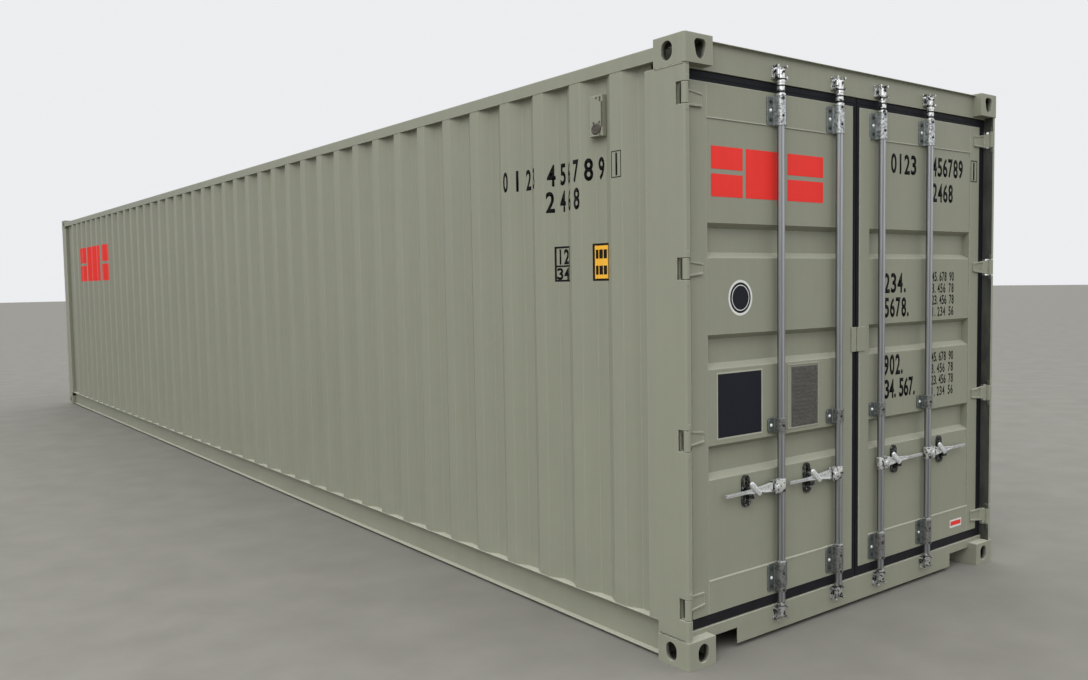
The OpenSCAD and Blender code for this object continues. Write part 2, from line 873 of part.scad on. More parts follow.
// Tube of a stile, drawn from its rounded corner
module stile_section(w) {
    r = stile_round;
    t = leaf_tube_t;
    difference() {
        union() {
            translate([r, 0]) square([w - r, leaf_t]);
            translate([0, r]) square([w, leaf_t - r]);
            translate([r, r]) circle(r);
        }
        translate([t, t]) square([w - 2 * t, leaf_t - 2 * t]);
    }
}

module door_stiles() {
    color(paint) at_corner() translate([0, leaf_face, leaf_low]) linear_extrude(leaf_h) {
        translate([leaf_edge, 0]) stile_section(stile_w);
        translate([leaf_edge + leaf_w, 0]) mirror([1, 0]) stile_section(free_stile_w);
    }
}

panel_x0 = leaf_edge + stile_w;
panel_x1 = leaf_edge + leaf_w - free_stile_w;

module door_rails() {
    color(paint) at_corner() for (z = [leaf_low, leaf_high - leaf_rail_h])
        along_x(panel_x0, panel_x1) translate([leaf_face, z]) tube_section(leaf_t, leaf_rail_h, leaf_tube_t);
}

// Sheet with three recesses, drawn upwards from the lower rail
module door_panel() {
    run = leaf_h - 2 * leaf_rail_h;
    pitch = recess_pitch;
    first = (run - 2 * pitch - recess_h) / 2;
    turn = sheet_t * tan(atan2(recess_depth, recess_slope) / 2);
    path = [for (i = [0:2]) let (at = first + i * pitch)
        for (p = [[at, 0], [at + recess_slope, 1], [at + recess_h - recess_slope, 1], [at + recess_h, 0]]) p];
    color(paint) at_corner() along_x(panel_x0, panel_x1)
        translate([leaf_face + panel_in, leaf_low + leaf_rail_h]) polygon(concat(
            [[0, 0]], [for (p = path) [p[1] * recess_depth, p[0]]], [[0, run], [sheet_t, run]],
            [for (i = [len(path) - 1:-1:0]) let (p = path[i], s = (i % 4 < 2) ? -1 : 1)
                [p[1] * recess_depth + sheet_t, p[0] + s * turn]],
            [[sheet_t, 0]]));
}

// Ring around a leaf that reaches out by the given lengths
module leaf_ring(side, free, up, down) {
    difference() {
        translate([leaf_edge - side, leaf_low - down])
            square([leaf_w + side + free, leaf_h + up + down]);
        translate([leaf_edge, leaf_low]) square([leaf_w, leaf_h]);
    }
}

module door_gasket() {
    free = leaf_gap - gasket_gap;
    front = leaf_face + gasket_in;
    back = post_box - gasket_clear;
    color(rubber) at_corner() {
        along_y(front, back) leaf_ring(gasket_t, gasket_t, gasket_t, gasket_t);
        for (y = [front, back - gasket_t]) along_y(y, y + gasket_t)
            leaf_ring(gasket_fin, free, leaf_top_gap - gasket_clear, leaf_low_gap - gasket_clear);
    }
}

// Knuckle and ribbed blade with the pin at the origin. The lower and upper edge of the blade are
// given at its root and at its tip.
module hinge_leaf(root_z, tip_z) {
    blade_y = leaf_face - pin_in - blade_t;
    root = leaf_edge - pin_in - blade_root;
    tip = leaf_edge - pin_in + blade_reach;
    half = knuckle_h / 2;
    web = hinge_web / 2;
    difference() {
        union() {
            cylinder(knuckle_h, r = knuckle_r, center = true);
            intersection() {
                linear_extrude(knuckle_h, center = true) {
                    polygon([[web, -web], [-web, web], [root - web, blade_y + blade_t],
                             [root + 2 * web, blade_y]]);
                    translate([root, blade_y]) square([tip - root, blade_t]);
                }
                along_y(-knuckle_r, blade_y + blade_t + over)
                    polygon([[-knuckle_r, half], [-knuckle_r, -half], [root, root_z[0]],
                             [tip, tip_z[0]], [tip, tip_z[1]], [root, root_z[1]]]);
            }
        }
        cylinder(knuckle_h + 2 * over, r = pin_r + fit, center = true);
        along_y(blade_y - over, blade_y + blade_t - blade_plate)
            polygon([[root + hinge_web, root_z[0] + blade_rib], [tip + over, tip_z[0] + blade_rib],
                     [tip + over, tip_z[1] - blade_rib], [root + hinge_web, root_z[1] - blade_rib]]);
    }
}

// Two middle hinges, and an upper and a lower one with a blade cut away towards the end of the leaf
module door_hinges() {
    half = knuckle_h / 2;
    color(paint) at_corner() {
        at_hinge(0) hinge_leaf([blade_cut_root - half, half], [blade_cut_tip - half, half]);
        for (i = [1, 2]) at_hinge(i) hinge_leaf([-1, 1] * blade_root_h / 2, [-1, 1] * blade_tip_h / 2);
        at_hinge(3) hinge_leaf([-half, half - blade_cut_root], [-half, half - blade_cut_tip]);
    }
}

// Rectangle around the origin with round corners
module rounded(w, h, r) {
    square([w, h - 2 * r], center = true);
    square([w - 2 * r, h], center = true);
    for (sx = [-1, 1], sy = [-1, 1]) translate([sx * (w / 2 - r), sy * (h / 2 - r)]) circle(r);
}

// Plate with a saddle around its bar, which is at the origin
module bracket(w, h, back) {
    plate_y = leaf_face - bar_in - bracket_t;
    difference() {
        union() {
            along_y(plate_y, plate_y + bracket_t + back) rounded(w, h, bracket_round);
            cylinder(h, r = saddle_r, center = true);
            translate([-saddle_r, 0, -h / 2]) cube([2 * saddle_r, plate_y, h]);
        }
        cylinder(h + 2 * over, r = bar_r + fit, center = true);
    }
}

bracket_zs = [leaf_low + bracket_margin, leaf_high - bracket_margin];

module bar_brackets() {
    color(galvanized) at_bars() translate([0, bar_in, 0]) {
        for (z = bracket_zs) translate([0, 0, z]) bracket(bracket_w, bracket_h, 0);
        translate([0, 0, guide_z]) bracket(guide_w, guide_h, panel_in);
    }
}

// Distance from the bar and half of the height along a handle
handle_steps = [
    [pivot_x + handle_swell, handle_h / 2], [handle_neck, handle_neck_h / 2],
    [handle_grip, handle_grip_h / 2], [handle_l, handle_grip_h / 2]
];

// Plate with a seat and a hook below the handle and a slanted stop behind it, open to the front
module handle_catch(from_bar) {
    back = leaf_face - bracket_t;
    stop = bar_in + handle_t / 2 + stop_gap;
    half = catch_w / 3;
    lowest = lookup(from_bar - half, handle_steps);
    seat_z = -lowest - seat_gap;
    along_y(back, leaf_face + panel_in) difference() {
        oval(catch_w, catch_h);
        translate([-half / 2, handle_h / 2 + catch_hole_h / 2]) oval(catch_hole_w, catch_hole_h);
    }
    along_y(seat_in, back) translate([-half, seat_z - seat_h]) square([2 * half, seat_h]);
    along_y(stop, back) {
        polygon([[0, lowest], [half, -lowest], [half, handle_h], [0, handle_h + seat_h]]);
        translate([0, seat_z - seat_h - hook_r + hook_w / 2]) difference() {
            circle(hook_r);
            circle(hook_r - hook_w);
            square(hook_r + over);
        }
    }
}

module handle_catches(from_bar) {
    color(galvanized) at_bars() translate([-from_bar, 0, handle_z]) handle_catch(from_bar);
}

// Lock bar with its cams and its handle hub, drawn with the hub to the left
module lock_bar(x) {
    color(galvanized) translate([-x, bar_in - length / 2, 0]) difference() {
        union() {
            translate([0, 0, cam_low_z - cam_h / 2])
                cylinder(cam_top_z - cam_low_z + cam_h, r = bar_r);
            for (z = [cam_low_z, cam_top_z]) translate([bar_r / 2 - beak_reach, 0, z])
                cylinder(cam_h, r = bar_r / 2, center = true);
            for (z = bracket_zs) translate([0, 0, z + bracket_h / 2 + collar_gap])
                cylinder(collar_h, r = bar_r + collar);
            for (z = [cam_low_z + cam_collar_z, cam_top_z - cam_collar_z]) translate([0, 0, z])
                cylinder(collar_h, r = bar_r + cam_collar, center = true);
            translate([0, 0, handle_z]) {
                cylinder(hub_h, r = bar_r + hub_sleeve, center = true);
                for (y = [-hub_gap_y - hub_t, hub_gap_y])
                    translate([-hub_l, y, -hub_h / 2]) cube([hub_l, hub_t, hub_h]);
                translate([-pivot_x, hub_gap_y + hub_t, 0]) rotate([90, 0, 0])
                    cylinder(2 * (hub_gap_y + hub_t), r = pivot_r);
            }
        }
        translate([0, 0, cam_low_z + cam_h / 2])
            cylinder(cam_top_z - cam_low_z - cam_h, r = bar_r - bar_t);
    }
}

// Outline of a handle through the given steps, narrower by an edge on both sides
module handle_outline(steps, edge) {
    n = len(steps);
    polygon([for (i = [0:2 * n - 1]) let (p = steps[min(i, 2 * n - 1 - i)], s = i < n ? 1 : -1)
        [-p[0], s * (edge - p[1])]]);
}

// Handle with a round eye and a groove in its front, drawn to the left of its bar
module lock_handle(x) {
    root = [pivot_x + eye_r * 3 / 4, eye_r / 2];
    groove = [[pivot_x + handle_swell + handle_rim, handle_h / 2], handle_steps[1],
              [handle_grip, handle_rim + over]];
    color(galvanized) translate([-x, bar_in - length / 2, handle_z]) difference() {
        union() {
            translate([-pivot_x, handle_t / 2, 0]) rotate([90, 0, 0]) cylinder(handle_t, r = eye_r);
            along_y(-handle_t / 2, handle_t / 2) handle_outline(concat([root], handle_steps), 0);
        }
        translate([-pivot_x, handle_t, 0]) rotate([90, 0, 0])
            cylinder(2 * handle_t, r = pivot_r + fit);
        along_y(-handle_t / 2 - over, -handle_t / 2 + handle_groove)
            handle_outline(groove, handle_rim);
    }
}

module centre_tab(w) {
    color(paint) translate([-w - gasket_gap, leaf_face - tab_t - length / 2, tab_z - tab_h / 2])
        cube([w, tab_t, tab_h]);
}

module data_plate() {
    y = leaf_face + panel_in - plate_t - length / 2;
    z = leaf_low + leaf_h / 2 - recess_pitch / 2;
    color(galvanized) translate([-plate_out - (bar_inner + bar_outer + plate_w) / 2, y, z - plate_h / 2])
        cube([plate_w, plate_t, plate_h]);
}

floor_boards();
floor_centre_rail();
cross_members();
gooseneck_tunnel();
tunnel_sides();
tunnel_lintel();
bottom_rail_left();
bottom_rail_right();
door_sill();
front_sill();
bottom_fittings();
rear_post_left();
rear_post_right();
front_post_left();
front_post_right();
hinge_pins();
side_wall_left();
side_wall_right();
front_wall();
top_fittings();
top_rail_left();
top_rail_right();
door_header();
front_header();
roof_panel();
ventilators();
header_keepers();
sill_keepers();
door_stiles();  // left_door_stiles
door_rails();  // left_door_rails
door_panel();  // left_door_panel
door_gasket();  // left_door_gasket
door_hinges();  // left_door_hinges
bar_brackets();  // left_bar_brackets
handle_catches(catch_left);  // left_handle_catches
centre_tab(tab_left_w);  // left_centre_tab
data_plate();
hand(true) door_stiles();  // right_door_stiles
hand(true) door_rails();  // right_door_rails
hand(true) door_panel();  // right_door_panel
hand(true) door_gasket();  // right_door_gasket
hand(true) door_hinges();  // right_door_hinges
hand(true) bar_brackets();  // right_bar_brackets
hand(true) handle_catches(catch_right);  // right_handle_catches
hand(true) centre_tab(tab_right_w);  // right_centre_tab
lock_bar(bar_outer);  // left_outer_bar
lock_bar(bar_inner);  // left_inner_bar
hand(true) lock_bar(bar_inner);  // right_inner_bar
hand(true) lock_bar(bar_outer);  // right_outer_bar
lock_handle(bar_outer);  // left_outer_handle
lock_handle(bar_inner);  // left_inner_handle
hand(true) lock_handle(bar_inner);  // right_inner_handle
hand(true) lock_handle(bar_outer);  // right_outer_handle
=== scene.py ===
"""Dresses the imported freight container: finishes, painted marks, fasteners and weld beads.

The CAD nodes keep their shapes and get procedural finishes. What is added here is small: rivets, bolts
and screws, pivot heads, ribs on the gaskets, weld beads, the trim of the ventilators and of the data
plate, and the painted marks. All lengths are in metres, in the frame of the CAD model: X across the
width, Y from the door end to the front end and Z up, with left and right as seen facing the doors.
A depth is measured inwards from the door end.
"""

import logging
import math
from collections.abc import Callable, Iterable
from dataclasses import dataclass, field
from enum import Enum

import bmesh
import bpy
from mathutils import Matrix, Vector


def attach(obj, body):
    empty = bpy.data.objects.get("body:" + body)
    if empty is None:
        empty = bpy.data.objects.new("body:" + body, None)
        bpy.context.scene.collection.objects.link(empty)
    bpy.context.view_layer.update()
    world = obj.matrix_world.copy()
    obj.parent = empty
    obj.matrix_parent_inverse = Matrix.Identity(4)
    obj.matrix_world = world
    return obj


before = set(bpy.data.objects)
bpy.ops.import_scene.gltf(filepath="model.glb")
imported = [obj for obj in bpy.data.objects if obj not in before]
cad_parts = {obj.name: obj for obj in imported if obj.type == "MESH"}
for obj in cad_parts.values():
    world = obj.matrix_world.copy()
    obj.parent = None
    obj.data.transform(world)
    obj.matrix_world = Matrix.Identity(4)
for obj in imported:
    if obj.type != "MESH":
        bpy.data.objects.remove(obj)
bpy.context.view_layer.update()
LOG = logging.getLogger("container")
Point = tuple[float, float, float]
Color = tuple[float, float, float]
Spans = tuple[tuple[float, float], ...]
Socket = bpy.types.NodeSocket
Mesh = bmesh.types.BMesh


class Side(Enum):
    """The two sides of the container, as seen facing the doors."""

    LEFT = -1
    RIGHT = 1

    @property
    def door(self) -> str:
        """Name of the body that carries this side's leaf."""
        return f"{self.name.lower()}_door"


class Bar(Enum):
    """The two lock bars of a leaf, with their distance from the middle of the container."""

    INNER = 0.172
    OUTER = 0.596

    def at(self, side: Side) -> float:
        """Place of this bar across the width."""
        return side.value * self.value

    def body(self, side: Side) -> str:
        """Name of the body of this bar."""
        return f"{side.name.lower()}_{self.name.lower()}_bar"


class Slot(Enum):
    """Material slots."""

    PAINT = "paint"
    GALVANIZED = "galvanized"
    RUBBER = "rubber"
    PLYWOOD = "plywood"
    PLATE = "plate"


@dataclass(frozen=True)
class Plan:
    """Sizes and places of the container that its trim and marks follow."""

    width: float = 2.438
    length: float = 12.192
    height: float = 2.591
    skin: float = 0.003
    fitting_l: float = 0.178
    fitting_h: float = 0.118
    post_face: float = 0.005
    leaf_face: float = 0.052
    panel_face: float = 0.055
    fin_face: float = 0.055
    bar_in: float = 0.026
    handle_z: float = 0.686
    guide_z: float = 0.957
    bracket_low: float = 0.268
    bracket_high: float = 2.340
    bracket_face: float = 0.047
    floor_z: float = 0.172

    def at_depth(self, depth: float) -> float:
        """Place along the length of a point that lies this deep in the door end."""
        return depth - self.length / 2


PLAN = Plan()
FRONTWARDS = Matrix.Rotation(math.radians(90), 4, "X")


@dataclass(frozen=True)
class Corrugation:
    """Section of a side wall, measured from the door end."""

    first: float = 0.313
    outer: float = 0.072
    inner: float = 0.070
    slope: float = 0.068
    depth: float = 0.036
    inset: float = 0.005

    @property
    def pitch(self) -> float:
        """Distance from one rib to the next."""
        return self.outer + self.inner + 2 * self.slope

    def inward(self, along: float) -> float:
        """How far the face of the wall lies inside the side of the container.

        Args:
            along: Distance from the door end.

        Returns:
            Distance from the side of the container.
        """
        if along < self.first:
            return self.inset + self.depth
        at = (along - self.first) % self.pitch
        if at < self.slope:
            return self.inset + self.depth * (1 - at / self.slope)
        if at < self.slope + self.outer:
            return self.inset
        if at < 2 * self.slope + self.outer:
            return self.inset + self.depth * (at - self.slope - self.outer) / self.slope
        return self.inset + self.depth

    def folds(self, low: float, high: float) -> list[float]:
        """Lists the fold lines of the wall.

        Args:
            low: Start of the stretch, from the door end.
            high: End of the stretch.

        Returns:
            Distances of the folds in that stretch.
        """
        steps = (0.0, self.slope, self.slope + self.outer, 2 * self.slope + self.outer)
        found: list[float] = []
        rib = self.first
        while rib < high:
            found += [rib + step for step in steps if low < rib + step < high]
            rib += self.pitch
        return found


class Sheet:
    """A node tree with short ways to add and join nodes."""

    def __init__(self, tree: bpy.types.NodeTree) -> None:
        """Keeps the tree and empties it."""
        self.tree = tree
        tree.nodes.clear()

    def add(self, kind: str, values: dict[str | int, object] | None = None,
            **settings: object) -> bpy.types.Node:
        """Adds a node.

        Args:
            kind: Type of the node, without its ShaderNode prefix, or a full name that starts with Node.
            values: Values or output sockets for its inputs, by name or number.
            settings: Attributes of the node.

        Returns:
            The node.
        """
        node = self.tree.nodes.new(kind if kind.startswith("Node") else "ShaderNode" + kind)
        for name, value in settings.items():
            setattr(node, name, value)
        for key, value in (values or {}).items():
            if isinstance(value, bpy.types.NodeSocket):
                self.tree.links.new(value, node.inputs[key])
            else:
                node.inputs[key].default_value = value
        return node

    def math(self, operation: str, *values: float | Socket, clamp: bool = False) -> Socket:
        """Adds a Math node and returns its output."""
        return self.add("Math", dict(enumerate(values)), operation=operation, use_clamp=clamp).outputs[0]

    def spread(self, value: Socket, low: float, high: float, to_low: float = 0.0,
               to_high: float = 1.0) -> Socket:
        """Maps a value from one range to another, clamped, and returns the output."""
        return self.add("MapRange", {0: value, 1: low, 2: high, 3: to_low, 4: to_high}).outputs[0]

    def mix(self, share: Socket | float, a: object, b: object, blend: str = "MIX") -> Socket:
        """Mixes two colours and returns the output."""
        node = self.add("Mix", data_type="RGBA", blend_type=blend)
        for key, value in (("Factor", share), ("A", a), ("B", b)):
            socket = next(s for s in node.inputs if s.name == key and (key == "Factor" or s.type == "RGBA"))
            if isinstance(value, bpy.types.NodeSocket):
                self.tree.links.new(value, socket)
            else:
                socket.default_value = value
        return next(s for s in node.outputs if s.type == "RGBA")

    def shade(self, color: Socket, share: Socket) -> Socket:
        """Multiplies a colour by a value and returns the output."""
        grey = self.add("CombineXYZ", {0: share, 1: share, 2: share}).outputs[0]
        return self.mix(1.0, color, grey, "MULTIPLY")

    def place(self, stretch: Point = (1.0, 1.0, 1.0)) -> Socket:
        """Object coordinates, stretched along each axis."""
        at = self.add("TexCoord").outputs["Object"]
        return self.add("Mapping", {"Vector": at, "Scale": stretch}).outputs[0]

    def axes(self) -> tuple[Socket, Socket, Socket]:
        """Object coordinates one by one."""
        split = self.add("SeparateXYZ", {0: self.place()}).outputs
        return split["X"], split["Y"], split["Z"]

    def noise(self, at: Socket, scale: float, detail: float = 4.0, rough: float = 0.55) -> Socket:
        """Adds a noise texture and returns its value."""
        values = {"Vector": at, "Scale": scale, "Detail": detail, "Roughness": rough}
        return self.add("TexNoise", values).outputs[0]

    def from_bar(self) -> Socket:
        """Distance from the nearest lock bar, outwards from the middle of the doors."""
        half = (Bar.OUTER.value - Bar.INNER.value) / 2
        across = self.math("ABSOLUTE", self.axes()[0])
        return self.math("WRAP", self.math("SUBTRACT", across, Bar.INNER.value), half, -half)

    def beyond(self, value: Socket, centre: float) -> Socket:
        """Distance of a mirrored coordinate from a centre."""
        return self.math("ABSOLUTE", self.math("SUBTRACT", self.math("ABSOLUTE", value), centre))


def rgba(color: Color) -> tuple[float, float, float, float]:
    """Adds full opacity to a colour."""
    return (*color, 1.0)


def effect(name: str, inputs: dict[str, object], outputs: dict[str, str],
           build: Callable[[Sheet, bpy.types.Node], dict[str, Socket]]) -> bpy.types.NodeTree:
    """Makes a shader node group for an effect that several finishes share.

    Args:
        name: Name of the group.
        inputs: Name and default of each input; a tuple is a colour, a number a value.
        outputs: Name and socket type of each output.
        build: Adds the nodes and returns the socket that feeds each output.

    Returns:
        The group.
    """
    tree = bpy.data.node_groups.new(name, "ShaderNodeTree")
    sheet = Sheet(tree)
    for key, value in inputs.items():
        kind = "NodeSocketColor" if isinstance(value, tuple) else "NodeSocketFloat"
        tree.interface.new_socket(name=key, in_out="INPUT", socket_type=kind).default_value = value
    for key, kind in outputs.items():
        tree.interface.new_socket(name=key, in_out="OUTPUT", socket_type=kind)
    made = build(sheet, sheet.add("NodeGroupInput"))
    sheet.add("NodeGroupOutput", made)
    return tree


def build_road_dust_and_ledge_light(sheet: Sheet, given: bpy.types.Node) -> dict[str, Socket]:
    """Dust and splashes that grow towards the ground, and painted light on up-facing faces, laid on in the
    light dust colour.
    """
    height = sheet.axes()[2]
    patches = sheet.noise(sheet.place((1.0, 1.0, 2.5)), 2.2, 8.0, 0.65)
    low = sheet.math("SUBTRACT", 1.0, sheet.math("DIVIDE", height, given.outputs["Reach"]), clamp=True)
    share = sheet.math("MULTIPLY", sheet.math("POWER", low, 2.0), sheet.spread(patches, 0.35, 0.7))
    splashed = sheet.math("MULTIPLY", share, given.outputs["Amount"], clamp=True)
    # Painted light: faces that look up take the light dust colour, as light from above brightens them.
    upwards = sheet.add("SeparateXYZ", {0: sheet.add("TexCoord").outputs["Normal"]}).outputs["Z"]
    dust_and_ledge_light = sheet.math("MULTIPLY", sheet.spread(upwards, 0.80, 0.99), given.outputs["Ledges"])
    mask = sheet.math("MAXIMUM", splashed, dust_and_ledge_light)
    return {"Color": sheet.mix(mask, given.outputs["Color"], given.outputs["Dust"]), "Mask": mask}


def build_rain_marks(sheet: Sheet, given: bpy.types.Node) -> dict[str, Socket]:
    """Upright marks that rain leaves on a wall, and broad clouds of uneven colour."""
    runs = sheet.noise(sheet.place((1.0, 1.0, 0.05)), 26.0, 5.0, 0.6)
    clouds = sheet.noise(sheet.place(), 1.3, 3.0)
    mottle = sheet.noise(sheet.place(), 14.0, 5.0, 0.6)
    shade = sheet.math("ADD", sheet.spread(runs, 0.3, 0.7, -1.0, 1.0),
                       sheet.spread(clouds, 0.3, 0.7, -1.0, 1.0))
    shade = sheet.math("ADD", shade, sheet.spread(mottle, 0.3, 0.7, -0.6, 0.6))
    value = sheet.math("MULTIPLY_ADD", shade, given.outputs["Amount"], 1.0)
    return {"Color": sheet.shade(given.outputs["Color"], value), "Mask": shade}


def build_edge_wear_and_highlight(sheet: Sheet, given: bpy.types.Node) -> dict[str, Socket]:
    """Finds edges, broken up by noise, where a finish is rubbed; where it is strong and light, as on the
    paints, it is partly wear and partly a painted highlight on rounded edges.
    """
    soft = sheet.add("Bevel", {"Radius": 0.006}, samples=4).outputs[0]
    true = sheet.add("NewGeometry").outputs["Normal"]
    facing = sheet.add("VectorMath", {0: soft, 1: true}, operation="DOT_PRODUCT").outputs["Value"]
    edge = sheet.spread(facing, 0.99, 0.90)
    broken = sheet.spread(sheet.noise(sheet.place(), 60.0, 6.0), 0.30, 0.60, 0.3, 1.0)
    mask = sheet.math("MULTIPLY", sheet.math("MULTIPLY", edge, broken), given.outputs["Amount"], clamp=True)
    return {"Color": sheet.mix(mask, given.outputs["Color"], given.outputs["Worn"]), "Mask": mask}


def build_fine_skin(sheet: Sheet, given: bpy.types.Node) -> dict[str, Socket]:
    """Fine unevenness of a sprayed or dipped coat."""
    fine = sheet.add("TexNoise", {"Vector": sheet.place(), "Scale": given.outputs["Scale"], "Detail": 3.0})
    broad = sheet.noise(sheet.place(), 9.0, 2.0)
    return {"Height": sheet.math("ADD", fine.outputs[0], sheet.math("MULTIPLY", broad, 0.7))}


@dataclass(frozen=True)
class Effects:
    """Node groups that the finishes share."""

    dust: bpy.types.NodeTree
    rain: bpy.types.NodeTree
    wear: bpy.types.NodeTree
    skin: bpy.types.NodeTree

    @classmethod
    def build(cls) -> "Effects":
        """Makes the node groups once."""
        both = {"Color": "NodeSocketColor", "Mask": "NodeSocketFloat"}
        grey = (0.5, 0.5, 0.5, 1.0)
        return cls(
            dust=effect("road_dust_and_ledge_light",
                        {"Color": grey, "Dust": grey, "Reach": 0.9, "Amount": 0.5, "Ledges": 0.0},
                        both, build_road_dust_and_ledge_light),
            rain=effect("rain_marks", {"Color": grey, "Amount": 0.02}, both, build_rain_marks),
            wear=effect("edge_wear_and_highlight", {"Color": grey, "Worn": grey, "Amount": 0.5}, both, build_edge_wear_and_highlight),
            skin=effect("fine_skin", {"Scale": 300.0}, {"Height": "NodeSocketFloat"}, build_fine_skin),
        )


@dataclass(frozen=True)
class Finish:
    """A coat of paint, zinc or rubber with wear, dust and a fine skin, and, where set, painted light on
    up-facing faces and painted highlights on rounded edges.
    """

    name: str
    color: Color
    worn: Color
    roughness: tuple[float, float] = (0.4, 0.55)
    metallic: float = 0.0
    gloss: float = 0.5
    wear: float = 0.4
    dust: float = 0.25
    # Colour of the dust, also laid on up-facing faces as painted light; the share of that painted light comes
    # next.
    dust_and_ledge_light: Color = (0.27, 0.25, 0.21)
    ledges: float = 0.0
    reach: float = 0.9
    rain: float = 0.03
    grain: float = 300.0
    bump: float = 0.08
    rounding: float = 0.003

    def base(self, sheet: Sheet) -> Socket | tuple[float, float, float, float]:
        """Colour before wear and dust; other finishes give a pattern here."""
        return rgba(self.color)

    def shaded(self, sheet: Sheet, color: Socket) -> Socket:
        """Colour after wear and dust; finishes with painted shade change it here."""
        return color

    def build(self, effects: Effects) -> bpy.types.Material:
        """Makes the material.

        Args:
            effects: Node groups to place in it.

        Returns:
            The material.
        """
        material = bpy.data.materials.new(self.name)
        material.use_nodes = True
        material.diffuse_color = rgba(self.color)
        sheet = Sheet(material.node_tree)
        rain = sheet.add("Group", {"Color": self.base(sheet), "Amount": self.rain}, node_tree=effects.rain)
        wear = sheet.add("Group", {"Color": rain.outputs["Color"], "Worn": rgba(self.worn),
                                   "Amount": self.wear}, node_tree=effects.wear)
        # Road dust, and painted light from above on up-facing faces where the finish sets it.
        dust = sheet.add("Group", {"Color": wear.outputs["Color"], "Dust": rgba(self.dust_and_ledge_light),
                                   "Ledges": self.ledges, "Reach": self.reach, "Amount": self.dust},
                         node_tree=effects.dust)
        skin = sheet.add("Group", {"Scale": self.grain}, node_tree=effects.skin)
        low, high = self.roughness
        rough = sheet.math("ADD", sheet.spread(skin.outputs["Height"], 0.5, 1.2, low, high),
                           sheet.math("MULTIPLY", dust.outputs["Mask"], 0.4), clamp=True)
        rounded = sheet.add("Bevel", {"Radius": self.rounding}, samples=4).outputs[0]
        bump = sheet.add("Bump", {"Strength": self.bump, "Distance": 0.002, "Height": skin.outputs["Height"],
                                  "Normal": rounded})
        shader = sheet.add("BsdfPrincipled", {
            "Base Color": self.shaded(sheet, dust.outputs["Color"]), "Roughness": rough,
            "Metallic": self.metallic, "Specular IOR Level": self.gloss, "Normal": bump.outputs[0]})
        sheet.add("OutputMaterial", {"Surface": shader.outputs[0]})
        return material


@dataclass(frozen=True)
class CastingPaint(Finish):
    """Paint of the corner fittings, with nearly black painted shade inside their cavities."""

    middle: Point = (1.138, 6.007, 1.2365)
    half: Point = (0.081, 0.089, 0.059)
    # Colour of the painted shade inside the cavities.
    inside: Color = (0.012, 0.012, 0.009)

    def shaded(self, sheet: Sheet, color: Socket) -> Socket:
        """Paints nearly black shade on what lies behind the walls of a fitting."""
        x, y, z = sheet.axes()
        z = sheet.math("SUBTRACT", z, PLAN.height / 2)
        gaps = [sheet.math("SUBTRACT", half, sheet.beyond(axis, middle))
                for axis, middle, half in zip((x, y, z), self.middle, self.half)]
        depth = sheet.math("MINIMUM", gaps[0], sheet.math("MINIMUM", gaps[1], gaps[2]))
        return sheet.mix(sheet.spread(depth, 0.002, 0.022), color, rgba(self.inside))


@dataclass(frozen=True)
class PostPaint(Finish):
    """Paint of the rear posts, with nearly black painted shade, a little streaky, on the faces towards the
    doors.
    """

    # Colour of the painted shade on the inward faces.
    inward_shade: Color = (0.030, 0.031, 0.028)

    def shaded(self, sheet: Sheet, color: Socket) -> Socket:
        """Paints shade on the faces that look towards the middle of the doors."""
        across = sheet.add("SeparateXYZ", {0: sheet.add("TexCoord").outputs["Normal"]}).outputs["X"]
        side = sheet.math("SIGN", sheet.axes()[0])
        inwards = sheet.math("MULTIPLY", sheet.math("MULTIPLY", across, -1.0), side)
        marks = sheet.noise(sheet.place((1.0, 1.0, 0.4)), 18.0, 5.0, 0.6)
        share = sheet.math("MULTIPLY", sheet.spread(inwards, 0.5, 0.9),
                           sheet.spread(marks, 0.3, 0.7, 0.8, 1.0))
        return sheet.mix(share, color, rgba(self.inward_shade))


@dataclass(frozen=True)
class Zinc(Finish):
    """Hot-dip zinc with a faint spangle."""

    dark: Color = (0.30, 0.33, 0.34)

    def base(self, sheet: Sheet) -> Socket:
        """Crystals of lighter and darker zinc."""
        cells = sheet.add("TexVoronoi", {"Vector": sheet.place((1.0, 1.0, 0.6)), "Scale": 150.0})
        tone = sheet.add("SeparateColor", {0: cells.outputs["Color"]}).outputs[0]
        return sheet.mix(tone, rgba(self.dark), rgba(self.color))


